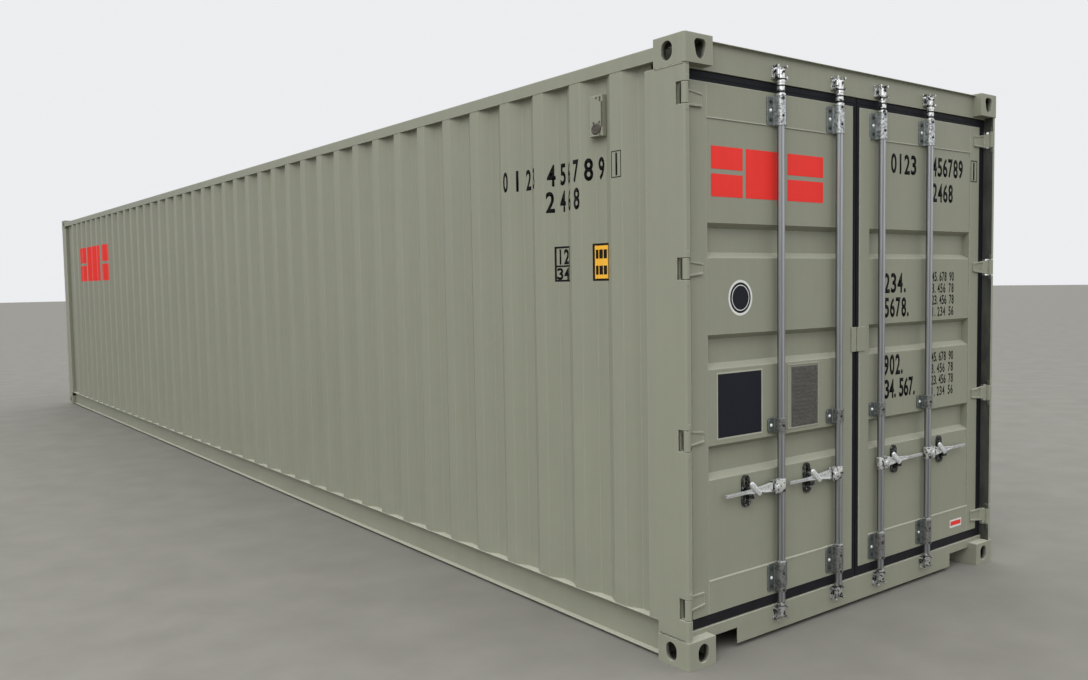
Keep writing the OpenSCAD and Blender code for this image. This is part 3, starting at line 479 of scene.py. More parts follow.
@dataclass(frozen=True)
class BarZinc(Zinc):
    """Zinc of the lock bars: streaks along the tube, bands of painted highlight and shade round it, painted
    shade on its side towards the door and towards the ground, and bright bands at the cams, collars and hub,
    rubbed bright, with painted shade on the lower hub and lower cams and black lines of painted shade between
    the bands.
    """

    bright: Color = (0.86, 0.87, 0.86)
    black: Color = (0.03, 0.032, 0.032)
    # Colours of the painted highlight and shade that run round the tube, and of the painted shade on its side
    # towards the door.
    shade_band: Color = (0.23, 0.235, 0.25)
    highlight_band: Color = (0.46, 0.475, 0.48)
    back_shade: Color = (0.12, 0.125, 0.125)
    bands: Spans = ((0.0, 0.155), (0.330, 0.345), (0.655, 0.717), (2.400, 2.6))
    # Spans of height painted black as shade between the bright bands.
    shade_lines: Spans = ((2.417, 2.427), (2.445, 2.452), (2.474, 2.480), (0.135, 0.139), (0.323, 0.331))

    def within(self, sheet: Sheet, spans: Spans) -> Socket:
        """Finds the spans of height."""
        height = sheet.axes()[2]
        mask: Socket | float = 0.0
        for low, high in spans:
            inside = sheet.math("MULTIPLY", sheet.spread(height, low - 0.001, low + 0.001),
                                sheet.spread(height, high + 0.001, high - 0.001))
            mask = sheet.math("MAXIMUM", mask, inside)
        return mask

    def base(self, sheet: Sheet) -> Socket:
        """Streaked tube with painted highlight and shade, bright bands, and black lines of painted shade."""
        across, along, height = sheet.axes()
        place = sheet.math("MULTIPLY", sheet.from_bar(), sheet.math("SIGN", across))
        round_bar = sheet.math("ARCTAN2", place, sheet.math("SUBTRACT", PLAN.at_depth(PLAN.bar_in), along))
        # Painted highlight and shade: light and dark bands run round the tube by its angle, and its side
        # towards the door is dark.
        wave = sheet.math("COSINE", sheet.math("MULTIPLY", sheet.math("ADD", round_bar, 0.24), 5.6))
        highlight_bands = sheet.spread(wave, -0.7, 0.9)
        tube = sheet.mix(highlight_bands, rgba(self.shade_band), rgba(self.highlight_band))
        behind = sheet.spread(sheet.math("ABSOLUTE", round_bar), 1.75, 2.15)
        tube = sheet.mix(behind, tube, rgba(self.back_shade))
        streaks = sheet.spread(sheet.noise(sheet.place((1.0, 1.0, 0.02)), 260.0, 3.0), 0.3, 0.7, 0.86, 1.14)
        # Painted shade: the tube gets darker towards the ground.
        shade = sheet.math("MULTIPLY", streaks, sheet.spread(height, 0.4, 1.9, 0.80, 1.0))
        tube = sheet.shade(tube, shade)
        pores = sheet.spread(sheet.noise(sheet.place(), 62.0, 3.0), 0.40, 0.48)
        # Painted shade on the lower half of the hub and on the lower cams.
        pores_and_hub_shade = sheet.math("MULTIPLY", pores, sheet.spread(height, 0.665, 0.700, 0.60, 1.0))
        rubbed = sheet.mix(pores_and_hub_shade, rgba(self.black), rgba(self.bright))
        zinc = sheet.mix(self.within(sheet, self.bands), tube, rubbed)
        # Black lines of painted shade between the bright bands.
        return sheet.mix(self.within(sheet, self.shade_lines), zinc, rgba(self.black))


@dataclass(frozen=True)
class BracketZinc(Zinc):
    """Zinc of the bar brackets: dull wings, bright saddles on the upper ones and darker lower ones."""

    wing: Color = (0.185, 0.21, 0.20)
    low: Color = (0.25, 0.255, 0.25)
    saddle_pore: Color = (0.14, 0.145, 0.15)
    low_pore: Color = (0.10, 0.105, 0.10)
    wing_pore: Color = (0.10, 0.115, 0.11)

    def base(self, sheet: Sheet) -> Socket:
        """Dull away from the bars, with dark specks on the saddles."""
        place = sheet.from_bar()
        specks = sheet.spread(sheet.noise(sheet.place(), 85.0, 4.0, 0.7), 0.40, 0.52)
        saddle = sheet.mix(specks, rgba(self.saddle_pore), super().base(sheet))
        dull = sheet.mix(specks, rgba(self.low_pore), rgba(self.low))
        saddle = sheet.mix(sheet.spread(sheet.axes()[2], 1.1, 1.6), dull, saddle)
        near = sheet.spread(sheet.math("ABSOLUTE", place), 0.0235, 0.0215)
        blotches = sheet.spread(sheet.noise(sheet.place(), 120.0, 4.0, 0.7), 0.35, 0.62)
        wings = sheet.mix(blotches, rgba(self.wing_pore), rgba(self.wing))
        return sheet.mix(near, wings, saddle)


@dataclass(frozen=True)
class Speckled(Zinc):
    """Cast zinc, rubbed bright on its high spots and black in its pores."""

    black: Color = (0.018, 0.019, 0.019)
    size: float = 75.0
    pores: tuple[float, float] = (0.44, 0.54)

    def base(self, sheet: Sheet) -> Socket:
        """Black pores between bright spots."""
        spots = sheet.spread(sheet.noise(sheet.place(), self.size, 3.0, 0.6), *self.pores)
        return sheet.mix(spots, rgba(self.black), super().base(sheet))


@dataclass(frozen=True)
class HandleZinc(Speckled):
    """Zinc of the handles, with painted shade beside the hub and duller towards the grip."""

    grip: Color = (0.52, 0.53, 0.53)

    def base(self, sheet: Sheet) -> Socket:
        """Bright from the hub to the catch, dull beyond it, with a black stripe of painted shade beside the
        hub.
        """
        reach = Bar.OUTER.value - Bar.INNER.value
        across = sheet.math("ABSOLUTE", sheet.axes()[0])
        shifted = sheet.math("SUBTRACT", across, Bar.INNER.value - 0.03)
        along = sheet.math("SUBTRACT", sheet.math("FLOORED_MODULO", shifted, reach), 0.03)
        zinc = sheet.mix(sheet.spread(along, 0.245, 0.225), rgba(self.grip), super().base(sheet))
        # Painted shade: a black stripe in the narrow space between hub and handle.
        gap_shade = sheet.math("MULTIPLY", sheet.spread(along, 0.052, 0.054), sheet.spread(along, 0.066, 0.064))
        return sheet.mix(gap_shade, zinc, rgba(self.black))


@dataclass(frozen=True)
class Plywood(Finish):
    """Varnished plywood boards with their grain and their joints."""

    dark: Color = (0.12, 0.055, 0.025)

    def base(self, sheet: Sheet) -> Socket:
        """Grain along the boards and a dark joint every 2.4 metres."""
        grain = sheet.noise(sheet.place((1.0, 0.06, 1.0)), 90.0, 6.0, 0.7)
        wood = sheet.mix(sheet.spread(grain, 0.3, 0.7), rgba(self.dark), rgba(self.color))
        saw = sheet.math("PINGPONG", sheet.axes()[1], 1.2)
        return sheet.mix(sheet.math("LESS_THAN", saw, 0.003), wood, rgba(self.dark))


@dataclass(frozen=True)
class Etched(Finish):
    """Dull metal of the data plate, spotted by handling."""

    dark: Color = (0.06, 0.055, 0.05)

    def base(self, sheet: Sheet) -> Socket:
        """Blotches along the plate."""
        grain = sheet.noise(sheet.place((1.0, 1.0, 5.0)), 60.0, 5.0, 0.65)
        return sheet.mix(sheet.spread(grain, 0.38, 0.66), rgba(self.color), rgba(self.dark))


class Materials:
    """All the finishes of the container, built once."""

    def __init__(self) -> None:
        """Makes the materials."""
        effects = Effects.build()
        # The third colour is road dust and also painted light on up-facing faces; the strong, light edge wear
        # of the paints is partly wear and partly painted highlight on rounded edges.
        paint, rubbed, ledge = (0.229, 0.233, 0.176), (0.40, 0.405, 0.33), (0.50, 0.49, 0.40)
        coat = {"gloss": 0.35, "dust": 0.12, "dust_and_ledge_light": ledge, "ledges": 0.7}
        self.paint = Finish("pebble_paint", paint, rubbed, wear=0.85, rain=0.022, **coat).build(effects)
        self.casting = CastingPaint("fitting_paint", paint, rubbed, wear=0.7, rain=0.03, grain=140.0,
                                    bump=0.25, **coat).build(effects)
        self.post = PostPaint("rear_post_paint", paint, rubbed, wear=0.85, rain=0.022, **coat).build(effects)
        self.floor_steel = Finish("underfloor_paint", (0.10, 0.10, 0.085), (0.2, 0.2, 0.18), wear=0.2,
                                  dust=0.5).build(effects)
        self.bar = BarZinc("bar_zinc", (0.40, 0.41, 0.40), (0.65, 0.67, 0.67), (0.26, 0.40), 0.75, wear=0.3,
                           dust=0.1, rain=0.02, dark=(0.31, 0.325, 0.325)).build(effects)
        self.bracket = BracketZinc("bracket_zinc", (0.66, 0.68, 0.67), (0.60, 0.63, 0.62), (0.26, 0.42), 0.7,
                                   wear=0.5, dust=0.1, rain=0.04, dark=(0.42, 0.45, 0.45)).build(effects)
        self.handle = HandleZinc("handle_zinc", (0.86, 0.87, 0.86), (0.95, 0.95, 0.94), (0.2, 0.34), 0.6,
                                 wear=0.6, dust=0.05, rain=0.03, dark=(0.62, 0.64, 0.65),
                                 pores=(0.34, 0.42)).build(effects)
        # The catch is set mostly black: painted shade for its shaded hollow, with bright spots.
        self.catch = Speckled("catch_zinc_painted_shade", (0.50, 0.51, 0.50), (0.62, 0.63, 0.62), (0.2, 0.35), 0.85,
                              wear=0.35, dust=0.05, rain=0.03, dark=(0.30, 0.32, 0.33),
                              pores=(0.56, 0.66)).build(effects)
        self.keeper = Speckled("keeper_zinc", (0.92, 0.93, 0.92), (0.95, 0.95, 0.94), (0.14, 0.28), 0.9,
                               wear=0.6, dust=0.05, rain=0.03, dark=(0.55, 0.57, 0.58),
                               pores=(0.43, 0.50)).build(effects)
        self.cast = Zinc("cast_zinc", (0.90, 0.91, 0.90), (0.95, 0.95, 0.94), (0.2, 0.34), 0.5, wear=0.5,
                         dust=0.05, rain=0.03, dark=(0.70, 0.72, 0.73)).build(effects)
        self.dark_steel = Finish("dark_bolt_steel", (0.030, 0.032, 0.032), (0.16, 0.16, 0.16), (0.4, 0.55),
                                 0.4, gloss=0.3, wear=0.25, dust=0.1).build(effects)
        self.rubber = Finish("gasket_rubber", (0.0085, 0.009, 0.0125), (0.020, 0.021, 0.026), (0.45, 0.65),
                             gloss=0.12, wear=0.3, dust=0.06, rain=0.08, bump=0.1).build(effects)
        self.plywood = Plywood("floor_plywood", (0.30, 0.15, 0.07), (0.35, 0.2, 0.1), (0.35, 0.5), wear=0.2,
                               dust=0.0).build(effects)
        self.plate = Etched("data_plate_metal", (0.13, 0.125, 0.115), (0.30, 0.30, 0.28), (0.35, 0.5), 0.5,
                            wear=0.3, dust=0.1).build(effects)
        self.brown = Finish("vent_grille_plastic", (0.075, 0.068, 0.055), (0.16, 0.15, 0.12), (0.4, 0.6),
                            gloss=0.2, wear=0.5, dust=0.1).build(effects)
        self.caulk = Finish("joint_sealant", (0.36, 0.36, 0.29), (0.42, 0.42, 0.36), (0.5, 0.7), gloss=0.2,
                            wear=0.2, dust=0.1, rain=0.03).build(effects)
        self.black = Finish("black_marking", (0.006, 0.006, 0.006), (0.02, 0.02, 0.02), (0.5, 0.65),
                            gloss=0.15, wear=0.0, dust=0.1).build(effects)
        self.navy = Finish("navy_patch", (0.0085, 0.0105, 0.0165), (0.02, 0.02, 0.03), (0.4, 0.55),
                           gloss=0.15, wear=0.1, dust=0.05).build(effects)
        self.white = Finish("white_marking", (0.62, 0.62, 0.59), (0.7, 0.7, 0.7), (0.45, 0.6), gloss=0.3,
                            wear=0.0, dust=0.2).build(effects)
        self.red = Finish("red_marking", (0.735, 0.030, 0.022), (0.6, 0.1, 0.08), (0.45, 0.6), gloss=0.2,
                          wear=0.0, dust=0.1).build(effects)
        self.yellow = Finish("yellow_marking", (0.82, 0.42, 0.03), (0.8, 0.5, 0.1), (0.45, 0.6), gloss=0.3,
                             wear=0.0, dust=0.1).build(effects)

    def dress(self, node: str) -> bpy.types.Material:
        """Picks the finish of a CAD node by its name."""
        if node.startswith("rear_post"):
            return self.post
        endings = {"_bar": self.bar, "_brackets": self.bracket, "_handle": self.handle,
                   "_catches": self.catch, "_keepers": self.keeper, "gasket": self.rubber,
                   "fittings": self.casting,
                   "floor_boards": self.plywood, "data_plate": self.plate, "cross_members": self.floor_steel,
                   "gooseneck_tunnel": self.floor_steel, "tunnel_sides": self.floor_steel}
        return next((finish for ending, finish in endings.items() if node.endswith(ending)), self.paint)


class Workpiece:
    """A mesh under construction that becomes one named piece."""

    def __init__(self, name: str) -> None:
        """Starts an empty mesh."""
        self.name = name
        self.mesh = bmesh.new()

    def take(self, other: Mesh, at: Matrix = Matrix.Identity(4)) -> None:
        """Adds a copy of another mesh at a place."""
        step = bpy.data.meshes.new("step")
        other.to_mesh(step)
        step.transform(at)
        self.mesh.from_mesh(step)
        bpy.data.meshes.remove(step)

    def finish(self, body: str, slot: Slot, material: bpy.types.Material,
               smooth: float | None = None) -> bpy.types.Object:
        """Turns the mesh into a piece that rides on a body.

        Args:
            body: Name of the CAD body.
            slot: Material slot; not used.
            material: Finish of the piece.
            smooth: Angle in degrees below which edges are shaded smooth, or None for flat faces.

        Returns:
            The piece.
        """
        data = bpy.data.meshes.new(self.name)
        bmesh.ops.recalc_face_normals(self.mesh, faces=self.mesh.faces[:])
        if smooth is not None:
            limit = math.radians(smooth)
            for face in self.mesh.faces:
                face.smooth = True
            for edge in self.mesh.edges:
                edge.smooth = not edge.is_boundary and edge.calc_face_angle(0.0) < limit
        self.mesh.to_mesh(data)
        self.mesh.free()
        data.materials.append(material)
        piece = bpy.data.objects.new(self.name, data)
        bpy.context.scene.collection.objects.link(piece)
        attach(piece, body)
        LOG.info("%s: %d faces on %s", self.name, len(data.polygons), body)
        return piece


def facing_doors(x: float, depth: float, z: float) -> Matrix:
    """Place of a turned shape that stands on a face and points out of the door end."""
    return Matrix.Translation((x, PLAN.at_depth(depth), z)) @ FRONTWARDS


def turned(profile: Iterable[tuple[float, float]], steps: int = 14) -> Mesh:
    """Turns a profile about the Z axis.

    Args:
        profile: Radius and height of each corner, from the foot to the top.
        steps: Number of sides.

    Returns:
        The closed shape.
    """
    mesh = bmesh.new()
    verts = [mesh.verts.new((radius, 0.0, height)) for radius, height in profile]
    edges = [mesh.edges.new(pair) for pair in zip(verts, verts[1:])]
    bmesh.ops.spin(mesh, geom=verts + edges, cent=(0, 0, 0), axis=(0, 0, 1), angle=math.tau, steps=steps,
                   use_merge=True)
    bmesh.ops.remove_doubles(mesh, verts=mesh.verts[:], dist=1e-6)
    return mesh


def bevel(mesh: Mesh, edges: list[bmesh.types.BMEdge], offset: float, segments: int) -> None:
    """Rounds or chamfers edges of a mesh."""
    bmesh.ops.bevel(mesh, geom=edges, offset=offset, offset_type="OFFSET", affect="EDGES", segments=segments,
                    profile=0.5, material=-1)


def thicken(mesh: Mesh, way: Vector) -> None:
    """Closes a flat mesh with a copy of its faces, moved by a vector."""
    made = bmesh.ops.extrude_face_region(mesh, geom=mesh.faces[:], use_keep_orig=True)["geom"]
    moved = [v for v in made if isinstance(v, bmesh.types.BMVert)]
    bmesh.ops.translate(mesh, verts=moved, vec=way)


def dome_rivet(radius: float, height: float) -> Mesh:
    """Makes a round rivet head on a thin collar."""
    arc = [(radius * 0.8 * math.cos(a), height * (0.25 + 0.75 * math.sin(a)))
           for a in (math.radians(step) for step in (0, 30, 60, 90))]
    return turned([(radius, -0.0005), (radius, height * 0.25), *arc])


def hex_bolt(radius: float, height: float) -> Mesh:
    """Makes a hexagon head with bevelled corners on a round washer."""
    mesh = bmesh.new()
    across = radius * 0.85
    bmesh.ops.create_cone(mesh, cap_ends=True, segments=6, radius1=across, radius2=across, depth=height)
    bmesh.ops.translate(mesh, verts=mesh.verts[:], vec=(0.0, 0.0, height / 2 + 0.0005))
    top = [e for e in mesh.edges if all(v.co.z > height for v in e.verts)]
    bevel(mesh, top, height * 0.25, 1)
    washer = turned([(0.0, -0.0005), (radius * 1.15, -0.0005), (radius * 1.15, 0.0008), (0.0, 0.0008)])
    both = Workpiece("bolt")
    both.take(mesh)
    both.take(washer)
    for part in (mesh, washer):
        part.free()
    return both.mesh


def flat_shape(corners: Iterable[tuple[float, float]]) -> Mesh:
    """Makes one flat face from corners in the plane of X and Z."""
    mesh = bmesh.new()
    mesh.faces.new([mesh.verts.new((x, 0.0, z)) for x, z in corners])
    mesh.normal_update()
    return mesh


def rectangle(x0: float, x1: float, z0: float, z1: float) -> Mesh:
    """Makes a flat rectangle in the plane of X and Z."""
    return flat_shape([(x0, z0), (x1, z0), (x1, z1), (x0, z1)])


def border(x0: float, x1: float, z0: float, z1: float, line: float) -> Mesh:
    """Makes a flat rectangular frame of the given line width."""
    mesh = rectangle(x0, x1, z0, z1)
    core = mesh.faces[:]
    bmesh.ops.inset_region(mesh, faces=core, thickness=line, use_boundary=True, use_even_offset=True)
    bmesh.ops.delete(mesh, geom=core, context="FACES_ONLY")
    return mesh


def disc(x: float, z: float, radius: float, inner: float = 0.0) -> Mesh:
    """Makes a flat disc or ring in the plane of X and Z."""
    mesh = bmesh.new()
    bmesh.ops.create_circle(mesh, cap_ends=inner == 0.0, segments=48, radius=radius)
    if inner:
        rim = mesh.edges[:]
        bore = bmesh.ops.create_circle(mesh, cap_ends=False, segments=48, radius=inner)["verts"]
        inside = [e for v in bore for e in v.link_edges]
        bmesh.ops.bridge_loops(mesh, edges=list(dict.fromkeys(rim + inside)))
    bmesh.ops.rotate(mesh, verts=mesh.verts[:], matrix=Matrix.Rotation(math.radians(90), 3, "X"))
    bmesh.ops.translate(mesh, verts=mesh.verts[:], vec=(x, 0.0, z))
    return mesh


def solid(shape: Mesh, thickness: float) -> Mesh:
    """Gives a flat shape in the plane of X and Z a thickness towards the front.

    Args:
        shape: The flat mesh, which becomes the back of the solid.
        thickness: How far the front stands out.

    Returns:
        The same mesh, closed.
    """
    thicken(shape, Vector((0.0, -thickness, 0.0)))
    return shape


@dataclass(frozen=True)
class DigitRow:
    """A row of plain digits in equal cells, in the plane of X and Z."""

    text: str
    start: float
    pitch: float
    width: float
    low: float
    high: float
    weight: float = 0.024

    def shapes(self) -> list[Mesh]:
        """Makes one flat mesh for each character."""
        model = self.outline("0")
        box = self.box(model)
        model.free()
        across = self.width / (box[1].x - box[0].x)
        up = (self.high - self.low) / (box[1].y - box[0].y)
        found = []
        for place, sign in enumerate(self.text):
            if sign == " ":
                continue
            mesh = self.outline(sign)
            low, high = self.box(mesh)
            narrow = sign in "1."
            stretch = across if narrow else self.width / (high.x - low.x)
            left = self.start + place * self.pitch
            if sign == "1":
                left += (self.width - (high.x - low.x) * across) / 2
            rise = up if sign == "." else (self.high - self.low) / (high.y - low.y)
            for v in mesh.verts:
                v.co = (left + (v.co.x - low.x) * stretch, 0.0, self.low + (v.co.y - low.y) * rise)
            found.append(mesh)
        return found

    def outline(self, sign: str) -> Mesh:
        """Makes the flat outline of one character, as the font gives it."""
        curve = bpy.data.curves.new("digit", "FONT")
        curve.body, curve.offset, curve.resolution_u = sign, self.weight, 3
        holder = bpy.data.objects.new("digit", curve)
        bpy.context.scene.collection.objects.link(holder)
        data = bpy.data.meshes.new_from_object(holder.evaluated_get(bpy.context.evaluated_depsgraph_get()))
        mesh = bmesh.new()
        mesh.from_mesh(data)
        bpy.data.objects.remove(holder)
        bpy.data.curves.remove(curve)
        bpy.data.meshes.remove(data)
        return mesh

    @staticmethod
    def box(mesh: Mesh) -> tuple[Vector, Vector]:
        """Lowest and highest corner of a flat mesh."""
        xs, ys = [v.co.x for v in mesh.verts], [v.co.y for v in mesh.verts]
        return Vector((min(xs), min(ys), 0.0)), Vector((max(xs), max(ys), 0.0))


@dataclass
class PaintedMarks:
    """Marks painted or stuck on a surface, each a skin as thin as paint."""

    name: str
    body: str
    lift: float = 0.0004
    coat: float = 0.0003

    def seat(self, mesh: Mesh) -> None:
        """Moves the flat shapes onto the surface; each kind of mark has its own surface."""

    def lay(self, name: str, shapes: list[Mesh], material: bpy.types.Material, slot: Slot = Slot.PAINT,
            level: int = 0) -> bpy.types.Object:
        """Lays flat shapes on the surface as one piece.

        Args:
            name: Name of the piece after the name of the group.
            shapes: Flat meshes in the plane of X and Z.
            material: Finish of the marks.
            slot: Material slot.
            level: Layers that lie under this one.

        Returns:
            The piece.
        """
        piece = Workpiece(f"{self.name}_{name}")
        for shape in shapes:
            piece.take(shape)
            shape.free()
        self.seat(piece.mesh)
        bmesh.ops.recalc_face_normals(piece.mesh, faces=piece.mesh.faces[:])
        self.raise_skin(piece.mesh, level)
        return piece.finish(self.body, slot, material)

    def raise_skin(self, mesh: Mesh, level: int) -> None:
        """Gives the flat skin its thickness, above the layers under it."""
        normal = self.outward()
        foot = self.lift / 2 + level * (self.lift + self.coat)
        bmesh.ops.translate(mesh, verts=mesh.verts[:], vec=normal * foot)
        thicken(mesh, normal * self.coat)

    def outward(self) -> Vector:
        """Direction away from the surface."""
        return Vector((0.0, -1.0, 0.0))


@dataclass
class DoorMarks(PaintedMarks):
    """Marks on a flat part of a leaf."""

    depth: float = PLAN.panel_face

    def seat(self, mesh: Mesh) -> None:
        """Moves the shapes to the face of that part."""
        bmesh.ops.translate(mesh, verts=mesh.verts[:], vec=(0.0, PLAN.at_depth(self.depth), 0.0))


@dataclass
class WallMarks(PaintedMarks):
    """Marks on the corrugated left wall; X of a shape is minus the distance from the door end."""

    wall: Corrugation = field(default_factory=Corrugation)

    def outward(self) -> Vector:
        """Direction away from the left wall."""
        return Vector((-1.0, 0.0, 0.0))

    def seat(self, mesh: Mesh) -> None:
        """Cuts the shapes at the folds of the wall and bends them round its corrugations."""
        near, far = -max(v.co.x for v in mesh.verts), -min(v.co.x for v in mesh.verts)
        for fold in self.wall.folds(near, far):
            bmesh.ops.bisect_plane(mesh, geom=mesh.verts[:] + mesh.edges[:] + mesh.faces[:], dist=1e-6,
                                   plane_co=(-fold, 0.0, 0.0), plane_no=(1.0, 0.0, 0.0))
        for v in mesh.verts:
            along = -v.co.x
            v.co = (-PLAN.width / 2 + self.wall.inward(along), along - PLAN.length / 2, v.co.z)


@dataclass
class DoorMarkings:
    """Everything painted or stuck on the two leaves."""

    materials: Materials

    def build(self) -> None:
        """Builds the marks of both leaves."""
        self.left_leaf()
        self.right_leaf()

    def left_leaf(self) -> None:
        """Red blocks, a disc and a dark panel with a pale border."""
        marks = DoorMarks("left_leaf", Side.LEFT.door)
        blocks = ((-1.012, -0.815, 2.070, 2.165), (-1.012, -0.815, 1.955, 2.050),
                  (-0.795, -0.535, 1.955, 2.165), (-0.515, -0.257, 1.955, 2.050),
                  (-0.515, -0.257, 2.070, 2.165))
        marks.lay("red_blocks", [rectangle(*block) for block in blocks], self.materials.red)
        marks.lay("disc_rim", [disc(-0.832, 1.529, 0.077, 0.066)], self.materials.white)
        marks.lay("disc", [disc(-0.832, 1.529, 0.066)], self.materials.navy)
        marks.lay("disc_ring", [disc(-0.832, 1.529, 0.056, 0.052)], self.materials.white, level=1)
        marks.lay("panel_border", [border(-0.984, -0.689, 0.928, 1.215, 0.007)], self.materials.caulk)
        marks.lay("dark_panel", [rectangle(-0.977, -0.696, 0.935, 1.208)], self.materials.navy)

    def right_leaf(self) -> None:
        """Rows of plain digits, a boxed digit and a small two-coloured patch."""
        marks = DoorMarks("right_leaf", Side.RIGHT.door)
        rows = [DigitRow("0123", 0.292, 0.0590, 0.049, 2.125, 2.225),
                DigitRow("456789", 0.668, 0.0515, 0.044, 2.130, 2.229),
                DigitRow("2468", 0.672, 0.0515, 0.044, 1.997, 2.095),
                DigitRow("234.", 0.240, 0.0575, 0.047, 1.528, 1.628, 0.026),
                DigitRow("5678.", 0.240, 0.0505, 0.042, 1.405, 1.505, 0.026),
                DigitRow("902.", 0.240, 0.0505, 0.042, 1.113, 1.218, 0.026),
                DigitRow("34.567.", 0.246, 0.0430, 0.041, 0.996, 1.093, 0.026)]
        for foot in (1.397, 0.972):
            for step, text in enumerate(("1.234 56", "23.456 78", "3.456 78", "45.678 90")):
                low = foot + step * 0.0615
                pitch = 0.0275 if len(text) == 8 else 0.0243
                rows.append(DigitRow(text, 0.674, pitch, 0.021, low, low + 0.050, 0.016))
        marks.lay("digits", [shape for row in rows for shape in row.shapes()], self.materials.black)
        raised = DoorMarks("right_leaf", Side.RIGHT.door, depth=PLAN.leaf_face)
        raised.lay("boxed_digit", [border(1.046, 1.112, 2.120, 2.236, 0.005),
                                   *DigitRow("1", 1.056, 0.05, 0.045, 2.130, 2.226).shapes()],
                   self.materials.black)
        raised.lay("patch", [rectangle(0.866, 0.984, 0.231, 0.275)], self.materials.white)
        raised.lay("patch_band", [rectangle(0.874, 0.976, 0.243, 0.266)], self.materials.red, level=1)


@dataclass
class WallMarkings:
    """Everything painted on the left wall, placed by the distance from the door end."""

    materials: Materials

    def build(self) -> None:
        """Builds the digits, the boxes and the red blocks."""
        marks = WallMarks("left_wall", "container")
        rows = [DigitRow("0123", -1.271, 0.0740, 0.041, 2.062, 2.164),
                DigitRow("456789", -0.920, 0.0690, 0.040, 2.062, 2.164),
                DigitRow("2468", -0.927, 0.0720, 0.042, 1.938, 2.038),
                DigitRow("1", -0.436, 0.05, 0.040, 2.066, 2.163, 0.02),
                DigitRow("12", -0.880, 0.048, 0.040, 1.692, 1.764, 0.03),
                DigitRow("34", -0.880, 0.048, 0.040, 1.620, 1.676, 0.03)]
        shapes = [shape for row in rows for shape in row.shapes()]
        shapes += [border(-0.449, -0.386, 2.057, 2.172, 0.004), border(-0.890, -0.776, 1.611, 1.777, 0.009),
                   rectangle(-0.881, -0.785, 1.680, 1.688)]
        marks.lay("digits", shapes, self.materials.black)
        marks.lay("yellow_box", [rectangle(-0.603, -0.510, 1.620, 1.772)], self.materials.yellow)
        blocks = [rectangle(left, left + wide, low, low + 0.040) for low in (1.640, 1.712)
                  for left, wide in ((-0.597, 0.014), (-0.577, 0.024), (-0.547, 0.022))]
        marks.lay("yellow_frame", [border(-0.611, -0.502, 1.612, 1.780, 0.010)], self.materials.black)
        marks.lay("yellow_rows", blocks, self.materials.black, level=1)
        red = [rectangle(-10.70, -10.08, 1.727, 2.165)]
        red += [rectangle(x0, x1, z0, z1) for x0, x1 in ((-11.19, -10.74), (-10.04, -9.556))
                for z0, z1 in ((1.727, 1.930), (1.962, 2.165))]
        marks.lay("red_blocks", red, self.materials.red)


@dataclass
class BracketFasteners:
    """Rivets and bolts that hold the bar brackets to the leaves."""

    materials: Materials
    wing: float = 0.043
    lean: float = -22.0
    saddle: float = 0.0222
    rivet: float = 0.0085
    bolt: float = 0.0075
    dot: float = 0.0065

    def build(self) -> None:
        """Builds the fasteners of both leaves."""
        for side in Side:
            self.leaf(side)

    def on_wing(self, bar: float, height: float) -> Matrix:
        """Place of a fastener on the left wing of a bracket."""
        return facing_doors(bar - self.wing, PLAN.bracket_face, height)

    def on_saddle(self, bar: float, height: float) -> Matrix:
        """Place of a fastener on the right shoulder of a saddle."""
        turn = Matrix.Rotation(math.radians(self.lean), 4, "Z")
        return (Matrix.Translation((bar, PLAN.at_depth(PLAN.bar_in), height)) @ turn
                @ Matrix.Translation((0.0, -self.saddle, 0.0)) @ FRONTWARDS)

    def leaf(self, side: Side) -> None:
        """Sets the fasteners of one leaf as two pieces."""
        bright = Workpiece(f"{side.name.lower()}_bracket_rivets")
        dark = Workpiece(f"{side.name.lower()}_bracket_bolts")
        dome, bolt = dome_rivet(self.rivet, 0.0055), hex_bolt(self.bolt, 0.006)
        dot = dome_rivet(self.dot, 0.003)
        for x in (bar.at(side) for bar in Bar):
            for middle, outwards in ((PLAN.bracket_low, -1), (PLAN.bracket_high, 1)):
                bright.take(dome, self.on_wing(x, middle + outwards * 0.002))
                for step in (0.040, -0.038):
                    dark.take(bolt, self.on_wing(x, middle + step))
                for step in (0.055, -0.022):
                    dark.take(dot, self.on_saddle(x, middle + outwards * step))
            bright.take(dome, self.on_wing(x, PLAN.guide_z))
            dark.take(dot, self.on_saddle(x, PLAN.guide_z))
        for shape in (dome, bolt, dot):
            shape.free()
        bright.finish(side.door, Slot.GALVANIZED, self.materials.cast, 40)
        dark.finish(side.door, Slot.GALVANIZED, self.materials.dark_steel, 40)


